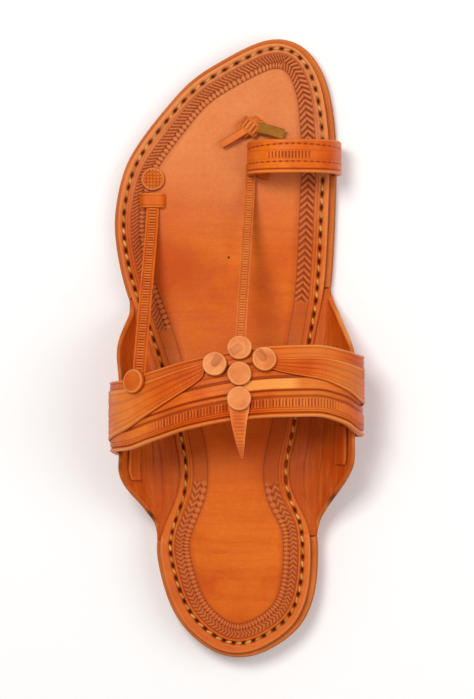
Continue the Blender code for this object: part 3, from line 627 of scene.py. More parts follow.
def ringFacts(ring):
    out = outOf(ring)
    along = alongOf(ring[:, 1])
    share = 0.5 + 0.5 * np.clip(out[:, 0] * 2.2, -1, 1)  # 0 lateral, 1 medial
    stitch = columnAt(stitchRows, along, 1) * (1 - share) + columnAt(stitchRows, along, 2) * share
    return out, along, share, stitch * mm


def earZone(x, y):  # 1 beside the ears, with short ramps at their ends
    zone = np.zeros(len(x))
    for side in (-1, 1):
        start = shoe["rear"] + ear["start"][side]
        end = start + ear["length"][side]
        here = ease(y, start, start + 0.004) * (1 - ease(y, end - 0.010, end))
        zone = np.where(x * side > 0, here, zone)
    return zone


def tooledBorder(gone, across, along, share):  # relief of the border and where it is worked; across is 0 to 1
    cell = gone / tooling["pitch"]
    c = across * 7.0
    herring = -ease(beat(cell + np.abs(c - 3.5) / 3.1), 0.20, 0.80) - 0.4 * hump(c, 3.5, 0.5)
    teeth = ease(beat(cell * 1.25) - np.abs(c - 5.3) / 2.4, -0.25, 0.25) - 1
    hatch = ease(beat(cell * 1.6 + c / 2.2), 0.3, 0.75)
    chevron = ease(beat(cell * 1.25 + np.abs(c - 2.1) / 2.4), 0.3, 0.8)
    seam = 0.6 * hump(c, 4.0, 0.35)
    toeWork = np.where(c < 4.0, -hatch, teeth) - seam
    heelWork = np.where(c < 4.0, -chevron, teeth) - seam
    pastHeel = ease(along, 0.285, 0.292)
    plainTo = np.where(share > 0.5, 0.566, 0.515)
    plain = pastHeel * (1 - ease(along, plainTo - 0.004, plainTo + 0.004))
    medial = ease(share, 0.80, 0.86)
    worked = herring * medial + toeWork * (1 - medial)
    relief = 0.85 * heelWork * (1 - pastHeel) + worked * pastHeel
    inside = ease(c, 0.3, 0.7) * (1 - ease(c, 6.3, 6.7)) * (1 - plain)
    return relief * inside, inside


def makeInsole():
    ring = outlineRing(tooling["columns"])
    out, along, share, stitch = ringFacts(ring)
    total = ringLength(ring)
    gone = np.linspace(0, total, len(ring), endpoint=False)
    edge = shoe["insoleInset"] + shoe["insoleShift"] * out[:, 0]
    bottom = shoe["outsole"] + shoe["middle"] + 2 * shoe["gap"]
    top = bottom + shoe["insole"]
    border = stitch + columnAt(borderRows, along, 1) * mm
    inner = border + tooling["borderWidth"]
    phase = (gone / total * round(total / tooling["stitch"])) % 1.0
    holeAlong = np.exp(-(((phase - 0.5) * tooling["stitch"]) / tooling["holeLength"]) ** 2)
    zone = earZone(ring[:, 0], ring[:, 1])
    spine = spineOf(ring, tooling["spineMargin"])
    soft = unit(blurred(out, tooling["softening"]))
    facing = np.sum(out * soft, axis=1)
    sheet = []

    def flatAt(inset, spineShare):
        near = np.minimum(inset, stitch)
        start = ring - out * near[:, None] - soft * ((inset - near) / facing)[:, None]
        return start + (spine - start) * spineShare

    def add(inset, z, groove=0.0, wearAndHighlight=0.0, paintedShade=0.0, spineShare=0.0, skived=True):
        flat = flatAt(inset, spineShare)
        thin = tooling["skive"] * zone * (1 - ease(inset - edge, 0.0, tooling["skiveWidth"])) * skived
        addRow(sheet, np.column_stack([flat, liftAt(flat[:, 1]) + z - thin]), groove, wearAndHighlight, paintedShade)

    def channelAt(away):  # how deep the stitch channel is, and the share of its holes, whose darkness is painted shade
        hole = holeAlong * np.exp(-(away / tooling["holeWidth"]) ** 2)
        return tooling["channel"] * hump(away, 0.0, tooling["channelWidth"]) + tooling["hole"] * hole, hole

    add(inner + mm, bottom, spineShare=1.0, skived=False)
    add(inner + mm, bottom, spineShare=0.4, skived=False)
    add(border, bottom, skived=False)
    # the insole's side wall: darker than the top, with painted shade that is deepest at its foot, where it
    # meets the middle sole
    add(edge + 0.2 * mm, bottom, paintedShade=0.5, skived=False)
    for level in (0.2, 0.5, 0.8):
        height = bottom + (top - tooling["skive"] * zone - bottom) * level
        add(edge + 0.05 * mm * waves(gone * 3, gone * 0, 9), height, 0.6, 0.0, 0.25, skived=False)
    for k in range(tooling["marginRows"]):
        inset = edge + (stitch - edge) * (k + 0.15) / tooling["marginRows"]
        within, away = inset - edge, stitch - inset
        rounded = tooling["rounding"] * (1 - ease(within, 0.0, 0.7 * mm))
        line = 0.12 * mm * hump(within, 1.4 * mm, 0.4 * mm) * (1 - zone)
        wearAndHighlight = 0.40 * hump(within, 0.5 * mm, 0.6 * mm) * (1 - zone) + 0.16 * (1 - hump(away, 0, 1.6 * mm))
        sunk, hole = channelAt(away)
        add(inset, top - rounded - sunk - line, 0.65 * hump(away, 0, 0.9 * mm), wearAndHighlight, hole)
    for k in range(tooling["channelRows"]):
        inset = stitch + (border - stitch) * k / tooling["channelRows"]
        away = inset - stitch
        sunk, hole = channelAt(away)
        ridge = tooling["ridge"] * hump(away, 1.45 * mm, 0.6 * mm)
        line = hump(away, 2.05 * mm, 0.4 * mm)
        groove = np.clip(0.65 * hump(away, 0, 0.9 * mm) + 0.5 * line, 0, 1)
        add(inset, top - sunk + ridge - 0.2 * mm * line, groove, 0.4 * hump(away, 1.45 * mm, 0.4 * mm), hole)
    for k in range(tooling["borderRows"] + 1):
        across = k / tooling["borderRows"]
        relief, worked = tooledBorder(gone, np.full(len(ring), across), along, share)
        lines = hump(across, 0.02, 0.05) + hump(across, 0.97, 0.05)
        groove = np.clip(-relief * 0.62 + 0.9 * lines, 0, 0.9) + 0.36 * float(0.02 < across < 0.98)
        raised = worked * (1 - np.clip(-relief, 0, 1))
        height = top + tooling["depth"] * relief - tooling["lineDepth"] * lines
        add(border + tooling["borderWidth"] * across, height, groove, 0.28 * raised)
    for k in range(1, tooling["panelRows"] + 1):
        inwards = k / tooling["panelRows"]
        flat = flatAt(inner, inwards)
        uneven = tooling["uneven"] * waves(flat[:, 0], flat[:, 1], 12) * ease(inwards, 0, 0.2)
        add(inner, top + uneven, spineShare=inwards)
    return gridPiece("insoleTooled", sheet, ringed=True)


handIn(makeInsole(), "insole_leather", insoleLeather, "insole")
print("insole is made")


# stitches: one thread dash modelled once and copied between the awl holes

stitches = {
    "length": 0.0030,
    "width": 0.00112,
    "height": 0.0008,
    "lean": 12.0,
    "sunk": 0.00016,
    "reach": 0.002,
}


def makeStitches():
    ring = outlineRing(tooling["columns"])
    out, _, _, stitch = ringFacts(ring)
    count = round(ringLength(ring) / tooling["stitch"])
    line = ring - out * stitch[:, None]
    deselect()
    bpy.ops.mesh.primitive_uv_sphere_add(segments=10, ring_count=8, radius=0.5)
    dash = bpy.context.active_object
    bpy.ops.object.mode_set(mode="EDIT")
    bpy.ops.mesh.select_all(action="SELECT")
    bpy.ops.transform.rotate(value=math.radians(90), orient_axis="Y", center_override=(0, 0, 0))
    bpy.ops.transform.resize(value=(stitches["length"], stitches["width"], stitches["height"]))
    bpy.ops.object.mode_set(mode="OBJECT")
    copies = []
    for k in range(count):
        i = int(k / count * len(ring)) % len(ring)
        way = unit(line[(i + 5) % len(ring)] - line[i - 5])
        turn = math.atan2(way[1], way[0]) + math.radians(stitches["lean"])
        x, y = line[i]
        z = float(insoleTopAt(y)) - stitches["sunk"]
        ahead = way[1] * stitches["reach"]
        slope = float(insoleTopAt(y + ahead) - insoleTopAt(y - ahead)) / (2 * stitches["reach"])
        thin = float(earZone(np.array([x]), np.array([y]))[0]) * tooling["skive"]
        depth = stitch[i] - shoe["insoleInset"] - shoe["insoleShift"] * out[i, 0]
        z -= thin * (1 - float(ease(depth, 0.0, tooling["skiveWidth"])))
        copy = dash.copy()
        copy.data = dash.data.copy()
        tilt = Matrix.Rotation(-math.atan(slope), 4, "Y")
        copy.data.transform(Matrix.Translation((x, y, z)) @ Matrix.Rotation(turn, 4, "Z") @ tilt)
        bpy.context.collection.objects.link(copy)
        copies.append(copy)
    bpy.data.objects.remove(dash, do_unlink=True)
    deselect()
    for copy in copies:
        copy.select_set(True)
    bpy.context.view_layer.objects.active = copies[0]
    bpy.ops.object.join()
    piece = bpy.context.active_object
    piece.name = "stitches"
    bpy.ops.object.shade_smooth()
    return piece


handIn(makeStitches(), "strap_leather", waxedThread)
print("stitches are made")


# ears

def earPoint(side, u, v):
    start = shoe["rear"] + ear["start"][side]
    y = start + ear["length"][side] * u
    edge = sideEdge(y, side)
    level = liftAt(y) + shoe["outsole"] + shoe["gap"]
    reachTo = band["span"] / 2 - band["wall"] - band["strip"] - shoe["gap"] - ear["slack"]
    smoothing = (-0.030, -0.018, -0.006, 0.006, 0.018, 0.030)
    near = [np.clip(u + step, 0, 1) for step in smoothing]
    spread, climb = (sum(columnAt(earRows[side], place, k) for place in near) / len(near) for k in (1, 2))
    reach = spread * np.maximum(0, reachTo - side * edge - ear["lip"])
    height = climb * (band["base"] + ear["above"] - level)
    root = np.stack([edge - side * ear["root"], y, level], axis=-1)
    ends = ease(u, 0.0, 0.04) * (1 - ease(u, 0.96, 1.0))
    lip = np.stack([edge + side * (ear["lip"] * ends - 0.0003 * (1 - ends)), y, level], axis=-1)
    part = np.clip((v - ear["rootShare"]) / (1 - ear["rootShare"]), 0, 1)[..., None]
    rest = 1 - part
    zero = np.zeros_like(reach)
    low = lip + np.stack([side * reach * 0.45, zero, zero], axis=-1)
    high = lip + np.stack([side * reach * 0.87, zero, height * 0.42], axis=-1)
    top = lip + np.stack([side * reach, zero, height], axis=-1)
    curve = lip * rest ** 3 + low * 3 * rest * rest * part + high * 3 * rest * part * part + top * part ** 3
    flat = root + (lip - root) * np.clip(v / ear["rootShare"], 0, 1)[..., None]
    return np.where((v <= ear["rootShare"])[..., None], flat, curve)


def earInward(side, u, v):
    along = earPoint(side, np.clip(u + 0.01, 0, 1), v) - earPoint(side, np.clip(u - 0.01, 0, 1), v)
    over = earPoint(side, u, np.clip(v + 0.01, 0, 1)) - earPoint(side, u, np.clip(v - 0.01, 0, 1))
    return unit(np.cross(along, over)) * -side


def earRow(side, u, v, depth):  # points of the ear at height v, depth inside its outer face
    level = np.full(len(u), v)
    return earPoint(side, u, level) + earInward(side, u, level) * np.reshape(depth, (-1, 1))


# place, width, depth, middle and reach of a crease
creaseSpans = ((0.22, 0.75), (0.004, 0.009), (0.3, 0.9), (0.1, 0.9), (0.12, 0.40))


def makeEar(side):
    u = np.linspace(0, 1, ear["columns"])
    dice = np.random.default_rng(5 + side)
    sheet = []
    # dark: painted shade along the ear's top edge and cut edge, where the ear meets the band
    dark = 0.22 + 0.6 * np.clip(sum(hump(u, place, half) for place, half in ear["shadedEdge"][side]), 0, 1)
    dark = dark * (0.75 + 0.25 * np.sin(u * 90 + side)) * ease(u, 0.03, 0.08) * (1 - ease(u, 0.9, 0.96))
    for v in np.linspace(0, 0.985, ear["outerRows"]):
        addRow(sheet, earRow(side, u, v, 0.2 * mm * ease(v, 0.93, 1.0)), 0.15, 0, dark * float(v > 0.97))
    bare = 0.7 * ease(u, 0.74, 0.80) * (1 - ease(u, 0.90, 0.95)) * float(side > 0)
    for depth in (0.2, 0.5, 0.8):
        wearAndHighlight = 0.3 * (1 - dark) + bare
        addRow(sheet, earRow(side, u, 1.0, ear["wall"] * depth), 0, wearAndHighlight, dark * (1 - bare))
    creases = [[dice.uniform(*span) for span in creaseSpans] for _ in range(ear["creases"])]
    for v in np.linspace(0.985, 0, ear["innerRows"]):
        relief = np.zeros(len(u))
        for place, width, depth, middle, reach in creases:
            bend = place + 0.02 * np.sin(u * 5 + place * 40)
            relief -= depth * hump(v - bend, 0.0, width * 1.6) * hump(u, middle, reach)
        relief = np.clip(relief, -1.3, 0)
        swell = 0.35 * waves(u * 0.04, np.full(len(u), v) * 0.03, 31 + side)
        shown = ease(v, 0.2, 0.3)
        depth = ear["wall"] + ear["wrinkle"] * (relief + 0.5 * swell) * shown
        # the creases are darkened as painted shade, and the wall is darker towards its root
        rooted = 0.34 * (1 - ease(v, 0.35, 0.80)) * (1 - 0.65 * ease(u, 0.62, 0.74))
        groove = -relief * 0.48 * shown + rooted
        paintedShade = 0.6 * dark * float(v > 0.975)
        addRow(sheet, earRow(side, u, v, depth), groove, 0.25 * ease(v, 0.90, 0.97), paintedShade)
    return gridPiece("earLateral" if side < 0 else "earMedial", sheet)


handIn(makeEar(-1), "ear_leather", earLeather, "ear_lateral")
handIn(makeEar(1), "ear_leather", earLeather, "ear_medial")
print("ears are made")


# instep band

bandWork = {
    "columns": 460,
    "bottomRows": 5,
    "ladderPitch": 0.0014,
    "lines": (0.045, 0.735, 0.872, 0.905),
    "hairs": (0.125, 0.30, 0.34, 0.45, 0.53, 0.63),
    "uneven": 0.00008,
    "frontRound": 0.0005,
    "rearRound": 0.0006,
    "softStep": 0.010,
}
strips = (  # start, end, rise
    (0.00, 0.21, 1.00), (0.24, 0.42, 0.40), (0.455, 0.61, 0.60),
    (0.64, 0.70, 0.40), (0.73, 0.93, 1.00), (0.955, 1.00, 0.80),
)


def stripRelief(across):
    rise = np.zeros_like(across)
    soft = bandWork["softStep"]
    for start, end, share in strips:
        low = ease(across, start - soft, start + soft) if start > 0 else 1.0
        high = 1 - ease(across, end - soft, end + soft) if end < 1 else 1.0
        rise = np.maximum(rise, share * low * high)
    return rise


def makeBand():
    turn = np.linspace(-band["tuck"], 180 + band["tuck"], bandWork["columns"])
    gone = travelled(bandPoint(turn, np.full(len(turn), 0.5)))
    sheet = []
    steps = ((0.0, 0.02, 4), (0.03, 0.965, 92), (0.97, 1.0, 7))
    for a in np.concatenate([np.linspace(*step) for step in steps]):
        across = np.full(len(turn), a)
        rise = stripRelief(across)
        ladder = ease(beat(gone / bandWork["ladderPitch"]), 0.4, 0.8) * (0.75 < a < 0.855)
        ladder = ladder * ease(turn, 46, 58) * (1 - ease(turn, 138, 150))
        lines = sum(hump(a, place, 0.012) for place in bandWork["lines"])
        hairs = sum(hump(a, place, 0.008) for place in bandWork["hairs"])
        bead = hump(a, 0.02, 0.022) * 0.25 + hump(a, 0.985, 0.03) * 0.35
        height = band["wall"] + band["strip"] * (rise + bead - 0.55 * ladder - 0.45 * lines - 0.25 * hairs)
        height = height + bandWork["uneven"] * waves(gone * 1.5, across * 0.03, 8)
        edge = bandWork["frontRound"] * (1 - ease(a, 0, 0.014)) + bandWork["rearRound"] * ease(a, 0.985, 1.0)
        # dip: the low ground between the raised strips, darkened as painted shade
        dip = 1 - ease(rise, 0.15, 0.5)
        groove = np.clip(0.95 * ladder + 0.6 * lines + 0.35 * hairs + 0.80 * dip, 0, 1)
        # pale: a painted highlight on the flat middle strip and on both sides of the band, left out of the
        # grooves; the rims are lighter as well
        flat = ease(a, 0.46, 0.475) * (1 - ease(a, 0.595, 0.61))
        pale = 0.75 * flat * ease(turn, 92, 96) * (1 - ease(turn, 116, 124))
        pale = pale + 0.26 * hump(turn, 130, 34) + 0.20 * hump(turn, 40, 30)
        pale = pale * (1 - 0.8 * np.clip(ladder + dip, 0, 1))
        wearAndHighlight = 0.5 * hump(a, 0.985, 0.028) + 0.35 * hump(a, 0.018, 0.02) + pale
        points = bandPoint(turn, across) + bandOut(turn, across) * (height - edge)[:, None]
        addRow(sheet, points, groove, wearAndHighlight)
    # the band's inner face, darkened as painted shade
    for a in np.linspace(1.0, 0.0, bandWork["bottomRows"] + 2):
        addRow(sheet, bandPoint(turn, np.full(len(turn), np.clip(a, 0.004, 0.996))), 0.3)
    return gridPiece("instepBand", sheet)


handIn(makeBand(), "strap_leather", strapLeather, "upper")

fans = (  # name, turn at the button, turn at the end, front and rear at the button, front and rear at the end
    ("fanLateral", 77, 4, 0.10, 0.26, 0.13, 0.87),
    ("fanMedial", 107, 176, 0.19, 0.31, 0.16, 0.63),
)
fanWork = {
    "columns": 220,
    "spread": 0.58,
    "lines": (0.12, 0.30, 0.34, 0.55, 0.76, 0.88),
    "lineDepth": 0.00022,
    "ticks": 34,
    "tickDepth": 0.0001,
    "round": 0.0005,
    "sunk": 0.0002,
}


def makeFan(name, turnA, turnB, frontA, rearA, frontB, rearB):
    u = np.linspace(0, 1, fanWork["columns"])
    turn = turnA + (turnB - turnA) * u
    widen = u ** fanWork["spread"]
    front = frontA + (frontB - frontA) * widen
    back = rearA + (rearB - rearA) * widen
    top = band["wall"] + band["strip"] + band["fan"]
    endFade = band["fan"] * 0.8 * ease(u, 0.93, 1.0)
    sheet = []
    for v in np.concatenate([[0.0, 0.01, 0.03], np.linspace(0.05, 0.95, 46), [0.97, 0.99, 1.0]]):
        across = front + (back - front) * v
        lines = sum(hump(v, place, 0.035) for place in fanWork["lines"])
        cross = beat(u * fanWork["ticks"]) * hump(v, 0.65, 0.1)
        edge = fanWork["round"] * (1 - ease(v, 0, 0.03)) + fanWork["round"] * ease(v, 0.97, 1.0)
        pressed = fanWork["lineDepth"] * np.clip(lines, 0, 1) + fanWork["tickDepth"] * cross
        height = top - pressed - edge - endFade
        # both edges of the fan are darkened as painted shade
        lines = lines + 2.0 * float(v < 0.02 or v > 0.98)
        wearAndHighlight = 0.35 * hump(v, 0.06, 0.05) + 0.25 * hump(v, 0.94, 0.05)
        wearAndHighlight = wearAndHighlight + 0.28 * ease(u, 0.25, 0.6) * (1 - ease(u, 0.8, 1.0))
        points = bandPoint(turn, across) + bandOut(turn, across) * height[:, None]
        addRow(sheet, points, np.clip(0.45 * lines + 0.10 * cross, 0, 1), wearAndHighlight)
    # the fan's walls down to the band, darkened as painted shade
    for v in (1.0, 0.5, 0.0):
        across = front + (back - front) * v
        points = bandPoint(turn, across) + bandOut(turn, across) * (band["wall"] - fanWork["sunk"])
        addRow(sheet, points, 0.8, 0, 0.3)
    return gridPiece(name, sheet)


for row in fans:
    handIn(makeFan(*row), "strap_leather", strapLeather, "upper")
print("band is made")


# straps: a flat profile carried along a smooth path

def smoothPath(points, count):
    points = np.array(points)
    gone = travelled(points)
    before = np.maximum(np.arange(len(points)) - 1, 0)
    after = np.minimum(np.arange(len(points)) + 1, len(points) - 1)
    slopes = (points[after] - points[before]) / (gone[after] - gone[before])[:, None]
    at = np.linspace(0, gone[-1], count)
    i = np.clip(np.searchsorted(gone, at, side="right") - 1, 0, len(points) - 2)
    span = (gone[i + 1] - gone[i])[:, None]
    t = ((at - gone[i]) / span[:, 0])[:, None]
    line = points[i] * (2 * t ** 3 - 3 * t ** 2 + 1) + slopes[i] * span * (t ** 3 - 2 * t ** 2 + t)
    return line + points[i + 1] * (3 * t ** 2 - 2 * t ** 3) + slopes[i + 1] * span * (t ** 3 - t ** 2), at


def strapPiece(name, points, width, thickness, relief, count, side=None, widths=((0, 1), (1, 1))):
    # relief(along, across) gives height share, groove and worn for a point of the upper face
    line, at = smoothPath(points, count)
    way = unit(np.gradient(line, axis=0))
    if side is None:
        side = unit(np.column_stack([way[:, 1], -way[:, 0], 0 * at]))
    else:
        side = unit(np.broadcast_to(np.array(side, float), line.shape))
    up = unit(np.cross(side, way))
    up = np.where(up[:, 2:3] < 0, -up, up)
    wide = width * np.interp(np.linspace(0, 1, count), *widths)
    sheet = []
    for c in np.linspace(0, 1, 24):
        share, groove, wearAndHighlight = relief(at, np.full(count, c))
        height = thickness * (1 + share) - thickness * 0.28 * nearEdge(c, 0.12)
        addRow(sheet, line + side * (wide * (c - 0.5))[:, None] + up * height[:, None], groove, wearAndHighlight)
    # the strap's underside, darkened as painted shade
    for c in (0.98, 0.5, 0.02):
        addRow(sheet, line + side * (wide * (c - 0.5))[:, None], 0.5)
    return gridPiece(name, sheet)


thong = {
    "width": 0.0046, "side": 0.0056, "thickness": 0.0020, "ladder": 0.0014, "sunk": 0.0006, "inside": 0.0014,
    "overlap": 0.0050, "run": 0.0140, "climb": 0.0034, "sideRun": 0.0120, "sideClimb": 0.0030,
}
toeRing = {
    "span": 0.0425, "depth": 0.0150, "height": 0.0250, "wall": 0.0026, "place": 0.2250, "offset": 0.0250,
    "foot": 0.0042, "turns": (-14.0, 206.0), "tuck": 0.015, "fullness": 0.8,
}
disc = {"diameter": 0.0106, "thickness": 0.0022, "insoleX": -0.0392, "insolePlace": 0.2164}
strapLoop = {"width": 0.0104, "depth": 0.0064, "thickness": 0.0012, "gap": 0.0012, "rise": 0.0023}


def bandSpot(turn, across, height):
    turn, across = np.array([float(turn)]), np.array([float(across)])
    return (bandPoint(turn, across) + bandOut(turn, across) * height)[0]


def ringPlace():
    return shoe["rear"] + toeRing["place"]


def climbingPath(start, run, climb, turn):  # off the insole, then straight up and over the band's edge
    lip = bandSpot(turn, 0.0, band["wall"] - thong["sunk"] / 2)
    top = bandSpot(turn, band["strapAcross"], band["wall"] - thong["sunk"])
    ahead = run / (start[1] - lip[1])
    low = np.array((start[0] + (lip[0] - start[0]) * ahead, start[1] - run, start[2] + climb))
    return [start, low, (low + lip) / 2, lip, top]


def thongPoints():
    y = ringPlace() - toeRing["depth"] / 2 + thong["overlap"]
    x = toeRing["offset"] - toeRing["span"] / 2 + thong["inside"]
    start = np.array((x, y, float(insoleTopAt(y)) + shoe["gap"]))
    return climbingPath(start, thong["run"], thong["climb"], band["middleTurn"])


def loopPlace():
    front = shoe["rear"] + disc["insolePlace"] - disc["diameter"] / 2
    return front - strapLoop["depth"] / 2 - strapLoop["gap"]


def sidePoints():
    y = loopPlace() - strapLoop["depth"] / 3
    start = np.array((disc["insoleX"], y, float(insoleTopAt(y)) + shoe["gap"]))
    return climbingPath(start, thong["sideRun"], thong["sideClimb"], band["sideTurn"])


def ladderRelief(pitch, edge=0.16):
    def relief(at, c):
        tick = ease(beat(at / pitch), 0.3, 0.8)
        inside = ease(c, edge + 0.06, edge + 0.12) * (1 - ease(c, 1 - edge - 0.12, 1 - edge - 0.06))
        lines = hump(c, edge, 0.05) + hump(c, 1 - edge, 0.05)
        dip = tick * inside
        wearAndHighlight = 0.25 * nearEdge(c, 0.12) + 0.20 * (1 - tick) * inside
        return -0.16 * dip - 0.14 * lines, np.clip(0.95 * dip + 0.60 * lines, 0, 1), wearAndHighlight
    return relief


ladder = ladderRelief(thong["ladder"])
thongPiece = strapPiece("centreThong", thongPoints(), thong["width"], thong["thickness"], ladder, 420)
handIn(thongPiece, "strap_leather", tanLeather, "upper")
sidePiece = strapPiece("sideStrap", sidePoints(), thong["side"], thong["thickness"], ladder, 420)
handIn(sidePiece, "strap_leather", strapLeather, "upper")

ringWork = {
    "columns": 300,
    "relief": 0.0003,
    "round": 0.0006,
    "dash": 0.0026,
    "tick": 0.0014,
    "ticksAt": 0.0235,
    "ticksHalf": 0.0085,
}


def makeRing():
    half = toeRing["span"] / 2 - toeRing["wall"]
    level = float(insoleTopAt(ringPlace())) + toeRing["foot"]
    rise = toeRing["height"] - toeRing["foot"] - toeRing["wall"]
    turn = np.radians(np.linspace(*toeRing["turns"], 1200))
    cos, sin = np.cos(turn), np.sin(turn)
    x = toeRing["offset"] - half * np.sign(cos) * np.abs(cos) ** toeRing["fullness"]
    z = level + np.where(sin > 0, rise * np.abs(sin) ** toeRing["fullness"], toeRing["tuck"] * sin)
    line = np.column_stack([x, z])
    gone = travelled(line)
    at = np.linspace(0, gone[-1], ringWork["columns"])
    line = np.column_stack([np.interp(at, gone, line[:, 0]), np.interp(at, gone, line[:, 1])])
    way = unit(np.gradient(line, axis=0))
    out = np.column_stack([-way[:, 1], way[:, 0]])
    arch = 0.10 * (1 - ((line[:, 0] - toeRing["offset"]) / half) ** 2)
    dash = 0.35 + 0.65 * ease(beat(at / ringWork["dash"]), 0.35, 0.70)
    ticked = (np.abs(line[:, 0] - ringWork["ticksAt"]) < ringWork["ticksHalf"]) * (line[:, 1] > level)
    ticks = ease(beat(at / ringWork["tick"]), 0.5, 0.8) * ticked
    sheet = []

    def add(c, height, groove, wearAndHighlight=0.0):
        y = np.full(len(at), ringPlace() + toeRing["depth"] * (0.5 - c))
        spot = line + out * np.reshape(height, (-1, 1))
        addRow(sheet, np.column_stack([spot[:, 0], y, spot[:, 1]]), groove, wearAndHighlight)

    for c in np.concatenate([[0, 0.01, 0.03], np.linspace(0.05, 0.95, 60), [0.97, 0.99, 1.0]]):
        tick = ticks * (0.36 < c < 0.56)
        lines = hump(c, 0.88, 0.036) + 0.4 * hump(c, 0.33, 0.016) + 0.4 * hump(c, 0.59, 0.016)
        dashes = (hump(c, 0.235 - arch, 0.042) + hump(c, 0.69 - arch * 0.3, 0.036)) * dash
        edge = ringWork["round"] * (1 - ease(c, 0, 0.03)) + ringWork["round"] * ease(c, 0.97, 1.0)
        height = toeRing["wall"] - ringWork["relief"] * (lines + dashes + tick - hump(c, 0.95, 0.06)) - edge
        wearAndHighlight = 0.5 * hump(c, 0.955, 0.05) + 0.25 * hump(c, 0.03, 0.04)
        add(c, height, np.clip(lines + 1.1 * dashes + 0.95 * tick, 0, 1), wearAndHighlight)
    # the ring's inner face, darkened as painted shade
    for c in (0.99, 0.75, 0.5, 0.25, 0.01):
        add(c, 0.0, 0.4)
    return gridPiece("toeRing", sheet)


handIn(makeRing(), "strap_leather", strapLeather, "upper")
print("straps and ring are made")


# leather buttons: a polar grid laid on the plane of each button's solid

buttons = {  # face, and the way its cut flap points in degrees
    "disc_front": ("flap", 215),
    "disc_lateral": ("flap", 58),
    "disc_medial": ("flap", 128),
    "disc_middle": ("plain", 0),
    "disc_rear": ("plain", 0),
    "disc_side": ("plain", 0),
    "disc_insole": ("hatched", 0),
}


def nodePlane(node):  # centre and upward normal of a flat round solid
    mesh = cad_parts[node].data
    flat = np.empty(len(mesh.vertices) * 3)
    mesh.vertices.foreach_get("co", flat)
    points = np.unique(flat.reshape(-1, 3).round(6), axis=0)
    low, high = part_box(node)
    centre = (np.array(low) + np.array(high)) / 2
    _, _, axes = np.linalg.svd(points - points.mean(axis=0), full_matrices=False)
    normal = axes[2] if axes[2][2] > 0 else -axes[2]
    return centre, normal


faceHeight = 0.4
buttonEdge = [  # radius, height, from the middle of the lower face to the rim of the upper one
    (0.0, -0.5), (0.6, -0.5), (0.95, -0.5), (1.0, -0.40), (1.0, -0.1), (1.0, 0.16), (0.985, 0.32),
    (0.95, 0.43), (0.91, 0.49), (0.86, 0.50),
]
buttonFace = [(r, 0.47 - 0.04 * (0.8 - r)) for r in np.linspace(0.8, 0.0, 18)]


def faceRelief(px, py, face, way, seed):
    relief = np.zeros(len(px))
    if face == "hatched":
        relief = -0.10 * ease(np.maximum(np.cos(px * 22), np.cos(py * 22)), 0.6, 0.95)
    if face == "flap":
        cos, sin = math.cos(math.radians(way)), math.sin(math.radians(way))
        along, beside = -px * cos - py * sin - 0.10, px * sin - py * cos
        apart = np.where(along > 0, np.abs(beside), np.hypot(along, beside))
        relief = -0.06 * (1 - ease(apart, 0.26, 0.32)) - 0.05 * hump(apart, 0.31, 0.07)
    return relief + 0.03 * waves(px * 0.06 + seed, py * 0.06, 40 + seed)


def makeButton(node, face, way, seed):
    centre, normal = nodePlane(node)
    side = unit(np.cross(normal, (0.0, 1.0, 0.0)))
    other = np.cross(normal, side)
    turn = np.linspace(0, 2 * np.pi, 96, endpoint=False)
    radius, thick = disc["diameter"] / 2, disc["thickness"]
    rim = 1 + 0.012 * np.sin(turn * 2 + seed) + 0.008 * np.sin(turn * 5 + seed * 2)
    sheet = []
    for r, h in buttonEdge + buttonFace:
        px, py = r * rim * np.cos(turn), r * rim * np.sin(turn)
        relief = faceRelief(px, py, face, way, seed) if h > faceHeight else np.zeros(len(turn))
        flat = centre + side * (radius * px)[:, None] + other * (radius * py)[:, None]
        # the lower face and the side are darkened as painted shade round the button
        groove = np.clip(-relief * 7, 0, 0.8) + 0.8 * (h < 0.1)
        wearAndHighlight = 0.5 * hump(r, 0.90, 0.08) * (h > 0.2)
        addRow(sheet, flat + normal * (thick * (h + relief))[:, None], groove, wearAndHighlight)
    return gridPiece("button" + str(seed), sheet, ringed=True)


for seed, (node, (face, way)) in enumerate(buttons.items()):
    look = orangeLeather if node in ("disc_insole", "disc_side") else buttonLeather
    handIn(makeButton(node, face, way, seed + 1), "button_leather", look, node)
print("buttons are made")


# tail, loop, knot and lace ends

tail = {
    "length": 0.0285, "width": 0.0092, "thickness": 0.0016, "bend": 0.0020, "rib": 0.0015,
    "middle": (0.03, -0.50, -0.12), "tip": (0.07, -0.96, -0.46),
}


def makeTail():
    height = band["wall"] + band["strip"] + shoe["gap"]
    root = bandSpot(band["middleTurn"], band["tailAcross"], height)
    edge = bandSpot(band["middleTurn"], 1.0, height)
    past = edge + unit(edge - root) * tail["bend"]
    free = tail["length"] - np.linalg.norm(past - root)
    path = [root, edge, past, past + np.array(tail["middle"]) * free, past + np.array(tail["tip"]) * free]

    def relief(at, c):
        rib = ease(beat(at / tail["rib"]), 0.4, 0.8) * ease(np.minimum(c, 1 - c), 0.12, 0.2)
        return -0.14 * rib, 0.35 * rib, 0.3 * nearEdge(c, 0.15)

    taper = ((0, 0.2, 1.0), (1, 1, 0.1))
    return strapPiece("tailStrip", path, tail["width"], tail["thickness"], relief, 120, (-1, 0, 0), taper)


handIn(makeTail(), "strap_leather", tailLeather, "tail")


def makeLoop():
    across = np.linspace(-0.5, 0.5, 60)
    inside = thong["side"] / strapLoop["width"] / 2 + 0.06
    level = float(insoleTopAt(loopPlace())) + shoe["gap"]
    height = level + strapLoop["rise"] * ease(0.5 - np.abs(across), 0, 0.5 - inside)
    x = sidePoints()[0][0] + across * strapLoop["width"]
    path = np.column_stack([x, np.full(60, loopPlace()), height])[::4]

    def relief(at, c):
        lines = hump(c, 0.16, 0.06) + hump(c, 0.84, 0.06)
        return -0.12 * lines, 0.5 * lines, 0.4 * nearEdge(c, 0.12)

    return strapPiece("footLoop", path, strapLoop["depth"], strapLoop["thickness"], relief, 90, (0, 1, 0))


